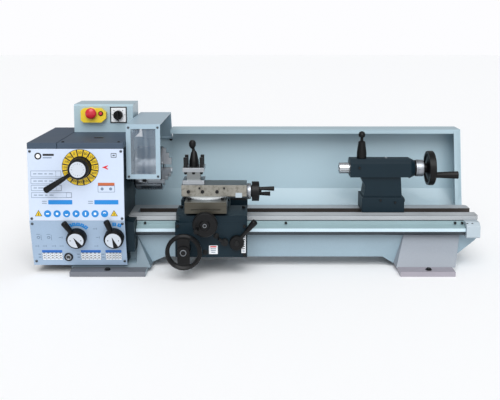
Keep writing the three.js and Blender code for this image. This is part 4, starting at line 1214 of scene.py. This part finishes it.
@dataclass
class Electrics:
    """The switch box on the lid: emergency stop, housing and rotary switch."""

    face: float = 49.0
    stop: tuple[float, float] = (-468.0, 431.0)
    switch: tuple[float, float] = (-392.0, 424.3)

    def build(self) -> None:
        """Dresses the box and adds the lamps, borders and pointer."""
        dress("electrical_box", 1.4, SHEET_COAT)
        dress("estop_housing", 1.8)
        dress("switch_plate", 1.0)
        dress("switch_knob", 0.8)
        shape = Shape()
        button = facing_front(-441, self.face - 18, 430)
        shape.put(revolved([(0, -0.2), (7.2, -0.2), (7.2, 1.4), (5.4, 2.0), (0, 2.0)], 28),
                  button, 1)
        shape.put(revolved([(0, 1.5), (4.8, 1.5), (4.8, 3.6), (3.8, 4.4), (0, 4.6)], 28),
                  button, 0)
        collar = facing_front(self.stop[0], self.face - 18, self.stop[1])
        shape.put(revolved([(7, -0.2), (17.5, -0.2), (17.5, 1.0), (15, 2.2), (7, 2.2)], 40,
                           ring=True), collar, 2)
        make_piece("stop_lamp", shape, [RED_ABS, PHENOLIC, YELLOW_ABS], "root")
        self.mushroom()
        frame_shape = Shape()
        plate = facing_front(self.switch[0], self.face - 3, self.switch[1])
        for side in (-1, 1):
            frame_shape.print(rounded(49, 3.2, 0.4), plate.at(0, side * 22.4), 0)
            frame_shape.print(rounded(3.2, 48, 0.4), plate.at(side * 22.8, 0), 0)
        for angle in (0, 45, 135, 180, 270):
            frame_shape.print(rounded(4, 1.4, 0.3), plate.turned(angle).at(18, 0), 0)
        make_piece("switch_plate_print", frame_shape, [INK_BLACK], "root")

    def mushroom(self) -> None:
        """Turns the stop's head with a dished rim and prints two turning arrows on it."""
        centre = facing_front(self.stop[0], self.face, self.stop[1])
        shape = Shape()
        shape.put(revolved([(0, -12), (5, -12), (5, 24.6), (14.5, 25), (16, 27), (16, 29.5),
                            (14.8, 32), (12, 34), (8, 35.4), (4, 36.2), (0, 36.6)], 48), centre)
        for turn in (0, 120, 240):
            place = centre.at(0, 0, 34.2).turned(turn)
            shape.put(extruded(sector(6.4, 8.6, 10, 80), -1.5, 0.9), place, 1)
        make_piece("stop_mushroom", shape, [RED_ABS, INK_WHITE], "estop_button",
                   ["estop_button"])


@dataclass
class Controls:
    """The speed dial's hub and lever, and the two feed levers."""

    speed_tip: tuple[float, float] = (-91.5, -59.0)
    feed_levers: tuple[str, ...] = ("feed_lever_left", "feed_lever_right")
    feed_tips: tuple[tuple[float, float], ...] = ((-31, 53), (-17, 58))

    def build(self) -> None:
        """Builds each lever smooth, with its printed disc."""
        self.speed_lever()
        for node, (x, z), tip in zip(self.feed_levers, LowerPanel.levers, self.feed_tips):
            self.feed_lever(node, x, z, tip)

    def speed_lever(self) -> None:
        """A stepped black hub with a white disc, and a tapered handle to the lower left."""
        x, z = UpperPanel.dial
        centre = facing_front(x, UpperPanel.front, z)
        shape = Shape()
        shape.put(revolved([(0, -26), (5, -26), (5, 0.4), (26.5, 0.4), (28, 2), (28, 30),
                            (26, 33.4), (23, 34), (0, 34)], 64), centre)
        tip = self.speed_tip
        share = 0.42  # of the way to the tip that the thin shank runs
        points = centre.map(np.array([[0, 0, 24], [tip[0] * share, tip[1] * share, 26],
                                      [tip[0] * share * 0.92, tip[1] * share * 0.92, 26],
                                      [*tip, 28]]))
        shape.bar(tuple(points[0]), tuple(points[1]), (5.4, 5.4))
        shape.bar(tuple(points[2]), tuple(points[3]), (6.4, 9.0))
        disc = centre.at(0, 0, 34)
        shape.print(circle(21.5, 56), disc, 1)
        for i in range(16):
            long = 3.4 if i % 4 == 0 else 1.6
            shape.print(rounded(long, 0.9, 0.2), disc.turned(i * 22.5).at(16, 0), 2, 2)
        make_piece("speed_lever_finished", shape, [PHENOLIC, INK_PALE, INK_BLACK],
                   "speed_lever", ["speed_lever"])

    def feed_lever(self, node: str, x: float, z: float, tip: tuple[float, float]) -> None:
        """A round knob with a pale disc, black wedge and dots, and a short tapered lever.

        Args:
            node: the CAD node it stands for.
            x: the knob's place along the bed, mm.
            z: its height, mm.
            tip: where the lever ends, across and up from the knob.
        """
        centre = LowerPanel().spot(x, z)
        shape = Shape()
        shape.put(revolved([(0, -20), (5, -20), (5, 0.6), (25.6, 0.6), (27, 2.2), (27, 20),
                            (25, 23.4), (22.6, 24), (0, 24)], 64), centre)
        ends = centre.map(np.array([[tip[0] * 0.3, tip[1] * 0.3, 14], [*tip, 18]]))
        shape.bar(tuple(ends[0]), tuple(ends[1]), (7, 8.5))
        disc = centre.at(0, 0, 24)
        shape.print(circle(21.5, 56), disc, 1)
        toward = math.degrees(math.atan2(tip[1], tip[0]))
        wedge = np.concatenate([arc(21.8, 162, 198, 8), [[11.5, 0]]])
        shape.print(wedge, disc.turned(toward), 0, 2)
        for side in (-1, 1):
            shape.print(circle(1.5, 12), disc.at(side * 14.5, 0), 0, 2)
        make_piece(f"{node}_finished", shape, [PHENOLIC, INK_PALE], node,
                   [node])


# ---- Spindle, chuck and guards -------------------------------------------------------------
@dataclass
class Chuck:
    """The three-jaw chuck, its key sockets and stepped jaws."""

    height: float = 275.0
    key_x: float = -304.0
    socket_face: float = 61.2
    keys: tuple[float, ...] = (204.0, 324.0, 84.0)

    def build(self) -> None:
        """Dresses the body and jaws, adds socket rings and face screws."""
        dress("chuck_body", 0.9, TURNED_ON_SPINDLE)
        for i in (1, 2, 3):
            dress(f"chuck_jaw_{i}", 0.6, BRIGHT_STEEL)
        dress("spindle", 0.6, TURNED_ON_SPINDLE)
        shape = Shape()
        for angle in self.keys:
            a = math.radians(angle)
            out = (0.0, math.cos(a), math.sin(a))
            place = Place((self.key_x, out[1] * self.socket_face,
                           self.height + out[2] * self.socket_face),
                          (1, 0, 0), (0, -out[2], out[1]), out)
            shape.put(revolved([(6.2, -6), (8.6, -6), (8.6, 1.0), (7.8, 1.6), (6.6, 1.6),
                                (6.2, 1.0)], 32, ring=True), place)
            # A black square at the bottom of each key socket: painted shade of the hole.
            shape.put(extruded(rounded(8.8, 8.8, 0.4), -7.2, -4.2), place, 1)
        face = facing_right(-256, 0, self.height)
        for angle in (30, 150, 270):
            a = math.radians(angle)
            screw(shape, face.at(44 * math.cos(a), 44 * math.sin(a), -2.4), 5.0, Head.CAP_SOCKET)
        make_piece("chuck_key_sockets", shape, [BRIGHT_STEEL, INK_BLACK], "spindle")


@dataclass
class Guards:
    """The hinged chuck guard with its clear window, and the splash guard behind the bed."""

    left: float = -346.0
    right: float = -252.0
    front: float = -110.0
    low: float = 265.0
    high: float = 417.0

    def build(self) -> None:
        """Dresses both guards and adds their screws and bolts."""
        dress("guard_frame", 0.9, GUARD_COAT)
        dress("guard_window", 0.4)
        dress("splash_guard", 1.0, SHEET_COAT)
        shape = Shape()
        for x in (self.left + 7, self.right - 7):
            for z in (self.low + 7, self.high - 9):
                screw(shape, facing_front(x, self.front, z), 3.4, Head.PAN_CROSS)
        make_piece("guard_screws", shape, [ZINC_PLATE, INK_BLACK], "chuck_guard")
        bolts = Shape()
        screw(bolts, facing_front(-257, 219.5, 327), 6.0, Head.HEX)
        for x in (-100, 130, 360, 590):
            screw(bolts, facing_back(x, 221, 342), 5.0, Head.HEX)
        for x in (-200, 80, 330, 600):
            screw(bolts, facing_front(x, 92.0, 117.5), 5.0, Head.HEX)
        make_piece("splash_guard_bolts", bolts, [BLACK_OXIDE, INK_BLACK], "root")


# ---- Carriage ------------------------------------------------------------------------------
@dataclass
class Carriage:
    """The saddle, apron and what stands on the apron's face."""

    front: float = -150.0
    wheel: tuple[float, float] = (-183.6, 84.0)
    nut_lever: tuple[float, float] = (-42.0, 99.0)
    saddle_top: float = 172.0

    def build(self) -> None:
        """Dresses the castings and builds the wheel, levers, plates and screws."""
        dress("saddle", 1.4)
        dress("apron", 1.8)
        dress("feed_knob", 0.5, BLACK_OXIDE)
        self.handwheel()
        self.half_nut_lever()
        self.face_fittings()

    def handwheel(self) -> None:
        """A black rim on two broad upright spokes, with a bright ring and a fixing screw."""
        hub = facing_front(self.wheel[0], self.front, self.wheel[1])
        dress("carriage_handwheel", 1.2)
        shape = Shape()
        shape.put(revolved([(6.4, 53.6), (8.6, 53.6), (8.6, 55.0), (8.0, 55.8), (7.0, 55.8),
                            (6.4, 55.0)], 48, ring=True), hub, 0)
        screw(shape, hub.at(0, 0, 53.9), 4.4, Head.CAP_SOCKET, 2, 3)
        make_piece("carriage_wheel_trim", shape, [BRIGHT_STEEL, PHENOLIC, BLACK_OXIDE,
                                                  INK_BLACK], "carriage_wheel")

    def half_nut_lever(self) -> None:
        """A black hub and a shaft that widens into a long grip."""
        hub = facing_front(self.nut_lever[0], self.front, self.nut_lever[1])
        shape = Shape()
        shape.put(revolved([(0, -22), (6, -22), (6, 0.4), (18.8, 0.4), (20, 1.8), (20, 13.5),
                            (18, 16.4), (0, 17)], 56), hub)
        ends = hub.map(np.array([[8, 10, 10], [30, 39, 20], [27, 35, 19], [51, 66, 30]]))
        shape.bar(tuple(ends[0]), tuple(ends[1]), (5.6, 5.6), 1)
        shape.bar(tuple(ends[2]), tuple(ends[3]), (6.6, 9.0))
        shape.put(revolved([(0, -0.2), (6.5, -0.2), (6.5, 2.2), (5.4, 3.0), (0, 3.0)], 32),
                  hub.at(0, 0, 17), 1)
        make_piece("half_nut_lever_finished", shape, [PHENOLIC, BLACK_OXIDE], "half_nut_lever",
                   ["half_nut_lever"])

    def spot(self, x: float, z: float) -> Place:
        """A place on the apron's face."""
        return facing_front(x, self.front, z)

    def face_fittings(self) -> None:
        """Puts on the oil plugs, button, instruction plates and apron screws."""
        shape = Shape()
        for x, z, radius in ((-98, 116, 6.2), (-128, 70, 5.6)):
            shape.put(revolved([(0, -0.3), (radius + 1.6, -0.3), (radius + 1.6, 1.2),
                                (radius, 1.6), (radius, 3.4), (radius - 1.4, 4.4), (0, 4.4)],
                               32), self.spot(x, z), 0)
        for x, z in ((-203, 143), (-21, 143), (-21, 63), (-140, 63)):
            screw(shape, self.spot(x, z), 4.2, Head.CAP_SOCKET, 0, 3)
        shape.put(extruded(rounded(24, 24, 1.2), -0.2, 0.8), self.spot(-106, 77), 1)
        shape.print(rounded(17, 3.4, 0.4), self.spot(-106, 85.5).at(0, 0, 0.8), 4)
        for i in range(3):
            place = self.spot(-106, 80 - i * 5).at(0, 0, 0.8)
            shape.print(rounded(15 - 2 * i, 1.8, 0.3), place, 2)
        shape.put(extruded(rounded(12, 50, 1.2), -0.2, 0.8), self.spot(-23.5, 93), 1)
        for i in range(7):
            place = self.spot(-23.5, 112 - i * 6.4).at(0, 0, 0.8)
            shape.print(rounded(7.5, 2.2, 0.3), place, 3 if i % 3 else 2)
        for x in (-200, -24):
            for y in (70, 50, -60):
                screw(shape, facing_up(x, y, self.saddle_top), 4.6, Head.CAP_SOCKET, 0, 3)
        shape.put(extruded(rounded(50, 50, 5), -0.2, 6), facing_up(-40, 59, self.saddle_top),
                  5)
        make_piece("apron_fittings", shape, [BLACK_OXIDE, WHITE_ABS, INK_GREY, INK_BLACK,
                                             INK_RED, WIPER_RUBBER], "carriage")


@dataclass
class CrossSlide:
    """The cross slide, its handwheel and scale ring."""

    axis: Vec3 = (-126.0, -150.0, 158.0)

    def build(self) -> None:
        """Dresses the slide, and builds the wheel's ring and the slide's screws."""
        dress("cross_slide", 1.0, RAW_IRON, [(self.is_ground, GROUND_STEEL)])
        dress("cross_handwheel", 0.9)
        hub = facing_front(*self.axis)
        shape = Shape()
        shape.put(revolved([(19.9, 0.9), (20.9, 0.9), (21.1, 1.6), (21.1, 24.6), (20.9, 25.2),
                            (19.9, 25.2)], 56, ring=True), hub)
        graduations(shape, hub, 21.1, 5, 50, 1, 1.8)
        shape.put(revolved([(3.6, 53.6), (5.4, 53.6), (5.4, 54.8), (5.0, 55.6), (4.0, 55.6),
                            (3.6, 55.0)], 40, ring=True), hub)
        screw(shape, hub.at(0, 0, 53.9), 2.6, Head.CAP_SOCKET, 2, 1)
        make_piece("cross_scale_ring", shape, [BRIGHT_STEEL, INK_BLACK, BLACK_OXIDE],
                   "cross_wheel")
        bolts = Shape()
        for x in (-172, -81):
            screw(bolts, facing_up(x, -127, 211), 4.7, Head.CAP_SOCKET)
        bolts.put(extruded(rounded(78, 2.0, 0.4), -0.4, 0.2), facing_front(-126, -138, 196), 1)
        for y in (-40, 10, 60):
            screw(bolts, facing_right(-69, y, 190), 3.4, Head.CAP_SOCKET)
        make_piece("cross_slide_screws", bolts, [BLACK_OXIDE, INK_BLACK], "cross_slide")

    def is_ground(self, _centres: Points, normals: Points) -> Points:
        """True on the slide's ends and top, which are ground."""
        return (abs(normals[:, 0]) > 0.7) | (normals[:, 2] > 0.9)


@dataclass
class Compound:
    """The swivelling top slide with its tool post and handwheel."""

    centre: tuple[float, float] = (-126.0, -82.0)
    post: tuple[float, float] = (-162.0, -81.0)
    plate_top: float = 296.6
    slot: tuple[float, float] = (258.0, 284.0)

    def build(self) -> None:
        """Dresses the slide and post, and builds the scales, screws and wheel trim."""
        # The swivel's pale colour is a painted sheen of bright steel.
        dress("swivel_base", 0.7, TURNED_UPRIGHT)
        dress("top_slide", 1.0, GROUND_STEEL, [(self.is_front, SCRAPED_IRON)])
        # The post's core between its plates gets darker steel: painted shade of the recess.
        dress("toolpost", 0.8, PLATE_STEEL, [(self.is_bolt, BLACK_OXIDE),
                                             (self.is_shaded_core, GROUND_STEEL)])
        dress("toolpost_lever", 0.7, PHENOLIC)
        self.clamp_screws()
        dress("compound_handwheel", 0.9)
        self.swivel_scale()
        self.gib_screws()
        self.wheel_trim()

    def is_bolt(self, centres: Points, _normals: Points) -> Points:
        """True on the clamp bolts, which stand over the post's top plate."""
        return centres[:, 2] > self.plate_top

    def is_front(self, _centres: Points, normals: Points) -> Points:
        """True on the faces turned to the operator."""
        return normals[:, 1] < -0.5

    def is_shaded_core(self, centres: Points, normals: Points) -> Points:
        """True on the post's core, between the floor and the roof of its tool slots, which takes
        the darker ground steel as painted shade.
        """
        z = centres[:, 2]
        return (z > self.slot[0]) & (z < self.slot[1]) & (abs(normals[:, 2]) < 0.5)

    def clamp_screws(self) -> None:
        """Adds the black ends of the tool clamp screws, which show under the top plate."""
        shape = Shape()
        for dx in (-22, 0, 22):
            for dy in (-22, 22):
                if dx or dy:
                    place = facing_up(self.post[0] + dx, self.post[1] + dy, 277)
                    shape.put(revolved([(0, 0), (3.2, 0), (4.0, 1.2), (4.0, 8), (0, 8)], 20),
                              place)
        make_piece("clamp_screw_ends", shape, [BLACK_OXIDE], "toolpost")

    def swivel_scale(self) -> None:
        """Engraves degree lines round the front of the swivel base."""
        shape = Shape()
        place = facing_up(self.centre[0], self.centre[1], 211.4)
        for i in range(31):
            degrees = -90 + (i - 15) * 4
            line = np.array([[55.6, -0.45], [56.15, -0.45], [56.15, 0.45], [55.6, 0.45]])
            length = 4.4 if i % 5 == 0 else 2.8
            shape.put(extruded(line, 0.2, length), place.turned(degrees))
        make_piece("swivel_scale", shape, [INK_BLACK], "swivel")

    def gib_screws(self) -> None:
        """Adds three large and two small screws and a plain plate on the slide's front."""
        front = self.centre[1] - 34
        shape = Shape()
        for x in (-175.4, -136.7, -96.7):
            screw(shape, facing_front(x, front, 231), 4.6, Head.CAP_SOCKET)
        for x in (-145, -77.3):
            screw(shape, facing_front(x, front, 240.6), 2.8, Head.CAP_SOCKET)
        shape.put(extruded(rounded(18, 13, 1), -0.2, 0.5), facing_front(-37, front, 221), 2)
        make_piece("compound_gib_screws", shape, [BLACK_OXIDE, INK_BLACK, BRACKET_COAT],
                   "top_slide")

    def wheel_trim(self) -> None:
        """Adds the bright scale ring and the wheel's nut."""
        hub = facing_right(self.centre[0] + 111, self.centre[1], 225)
        shape = Shape()
        shape.put(revolved([(20.9, 0.9), (21.9, 0.9), (22.1, 1.5), (22.1, 10.6), (21.9, 11.2),
                            (20.9, 11.2)], 56, ring=True), hub)
        graduations(shape, hub, 22.1, 3.6, 50, 1, 1.6)
        screw(shape, hub.at(0, 0, 35.6), 5.0, Head.CAP_SOCKET, 2, 1)
        make_piece("compound_scale_ring", shape, [BRIGHT_STEEL, INK_BLACK, BLACK_OXIDE],
                   "compound_wheel")


# ---- Tailstock -----------------------------------------------------------------------------
@dataclass
class Tailstock:
    """The tailstock with its quill, lock and handwheel."""

    x: float = 376.5
    axis: float = 275.0

    def build(self) -> None:
        """Dresses the castings, quill, wheel and lock, and adds scales and screws."""
        dress("tailstock_base", 1.6)
        dress("tailstock_body", 1.8)
        dress("quill", 0.5, QUILL_STEEL)
        dress("tailstock_handwheel", 1.2)
        dress("quill_lock", 0.8)
        self.scale_ring()
        self.quill_scale()
        shape = Shape()
        for dx, z in ((-8, 186), (34, 180)):
            screw(shape, facing_front(self.x + dx, -28, z), 3.0, Head.CAP_SOCKET)
        screw(shape, facing_right(self.x + 60.5, 0, 180), 5.5, Head.CAP_SOCKET)
        screw(shape, facing_front(self.x - 70, -30, self.axis + 6), 3.4, Head.CAP_SOCKET)
        shape.put(revolved([(0, -0.3), (4.4, -0.3), (4.4, 1.4), (3, 2.6), (0, 3)], 28),
                  facing_up(self.x + 10, 0, self.axis + 29), 2)
        make_piece("tailstock_screws", shape, [BLACK_OXIDE, INK_BLACK, BRIGHT_STEEL],
                   "tailstock")

    def scale_ring(self) -> None:
        """Adds the bright graduated collar between the barrel and the wheel."""
        hub = facing_right(self.x, 0, self.axis)
        shape = Shape()
        shape.put(revolved([(22.9, 95.6), (23.9, 95.6), (24.1, 96.4), (24.1, 115.6),
                            (23.9, 116.4), (22.9, 116.4)], 56, ring=True), hub)
        graduations(shape, hub, 24.1, 5, 50, 1, 97)
        shape.put(revolved([(0, 147.6), (9.5, 147.6), (9.5, 150.6), (8, 152.2), (0, 152.6)],
                           6), hub, 2)
        make_piece("tailstock_scale_ring", shape, [BRIGHT_STEEL, INK_BLACK, BLACK_OXIDE],
                   "tailstock_wheel")

    def quill_scale(self) -> None:
        """Cuts a row of lines along the quill's front, and draws the keyway as a black strip of
        painted shade.
        """
        shape = Shape()
        for i in range(13):
            x = self.x - 122 + i * 2.5
            tall = 4.0 if i % 5 == 0 else 2.6
            shape.put(extruded(rounded(0.7, tall, 0.1), -0.4, 0.2),
                      facing_front(x, -15.78, self.axis + 1.0))
        # The keyway is a black strip: painted shade of the groove.
        shape.put(extruded(rounded(28, 1.2, 0.3), -0.5, 0.14),
                  facing_front(self.x - 108, -15.55, self.axis - 4.0))
        make_piece("quill_scale", shape, [INK_BLACK], "quill")


# ---- What stays a plain CAD node -----------------------------------------------------------
def dress_hidden_nodes() -> int:
    """Gives every CAD node still shown the finish of its slot.

    Returns:
        How many nodes were dressed.
    """
    count = 0
    for name, node in frame["nodes"].items():
        if not node.hide_render:
            node.data.materials.clear()
            node.data.materials.append(SLOT_FINISH[slot_of_node(name)].material())
            count += 1
    return count


# ---- Studio --------------------------------------------------------------------------------
@dataclass
class Studio:
    """A pale floor, soft lights and the camera."""

    eye: Vec3 = (0.0, -2196.0, 695.0)
    pitch: float = 6.6
    lens: float = 55.466
    shift: tuple[float, float] = (-0.0044, -0.178)
    key: Vec3 = (-0.45, -0.60, 0.80)
    fill: Vec3 = (0.80, -0.50, 0.45)
    cast: float = 0.45  # how brightly the surround lights the machine
    seen: float = 1.0  # how bright the surround itself looks

    def build(self) -> None:
        """Sets up the floor, the world, two soft lights and the camera."""
        self.floor()
        self.world()
        self.soft_light("key", self.key, 2.2, 50)
        self.soft_light("fill", self.fill, 0.5, 60)
        camera = bpy.data.cameras.new("camera")
        camera.lens = self.lens
        camera.sensor_width = 36
        camera.shift_x, camera.shift_y = self.shift
        holder = bpy.data.objects.new("camera", camera)
        holder.location = (np.array(self.eye) + DATUM) / METRE
        holder.rotation_euler = (math.radians(90 - self.pitch), 0, 0)
        bpy.context.scene.collection.objects.link(holder)
        bpy.context.scene.camera = holder

    def floor(self) -> None:
        """A wide pale matt floor."""
        mesh = bpy.data.meshes.new("floor")
        half = 14.0
        mesh.from_pydata([(-half, -half, 0), (half, -half, 0), (half, half, 0),
                          (-half, half, 0)], [], [(0, 1, 2, 3)])
        paint = bpy.data.materials.new("pale_studio_floor")
        paint.use_nodes = True
        shader = paint.node_tree.nodes["Principled BSDF"]
        shader.inputs["Base Color"].default_value = linear("FAFBFC")
        shader.inputs["Roughness"].default_value = 0.9
        mesh.materials.append(paint)
        floor = bpy.data.objects.new("floor", mesh)
        bpy.context.scene.collection.objects.link(floor)

    def world(self) -> None:
        """An even white surround, dimmer for the light it casts than for how it looks."""
        world = bpy.data.worlds.new("studio")
        world.use_nodes = True
        tree = world.node_tree
        seen = add_node(tree, "ShaderNodeLightPath").outputs["Is Camera Ray"]
        strength = add_node(tree, "ShaderNodeMapRange",
                            {"To Min": self.cast, "To Max": self.seen},
                            {"Value": seen}).outputs["Result"]
        background = tree.nodes["Background"]
        background.inputs["Color"].default_value = linear("FDFDFF")
        tree.links.new(strength, background.inputs["Strength"])
        bpy.context.scene.world = world
        bpy.context.scene.view_settings.view_transform = "Standard"

    def soft_light(self, name: str, towards: Vec3, power: float, spread: float) -> None:
        """Adds an even soft light.

        Args:
            name: the light's name.
            towards: the way from the machine to the light.
            power: its strength, watts a square metre.
            spread: how wide the light looks from the machine, degrees.
        """
        light = bpy.data.lights.new(name, "SUN")
        light.energy = power
        light.angle = math.radians(spread)
        holder = bpy.data.objects.new(name, light)
        place, _ = between((0.0, 0.0, 0.0), towards)
        matrix = np.eye(4)
        matrix[:3, :3] = np.array([place.x, place.y, place.z]).T
        holder.matrix_world = matrix.tolist()
        bpy.context.scene.collection.objects.link(holder)


def main() -> None:
    logging.basicConfig(level=logging.INFO, format="%(message)s")
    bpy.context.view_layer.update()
    assemblies = (Bed(), Headstock(), Electrics(), Controls(), Chuck(), Guards(), Carriage(),
                  CrossSlide(), Compound(), Tailstock(), Studio())
    for assembly in assemblies:
        before = len(bpy.data.objects)
        assembly.build()
        LOG.info("%s: %d pieces", type(assembly).__name__, len(bpy.data.objects) - before)
    LOG.info("plain CAD nodes dressed: %d", dress_hidden_nodes())


if __name__ == "__main__":
    main()
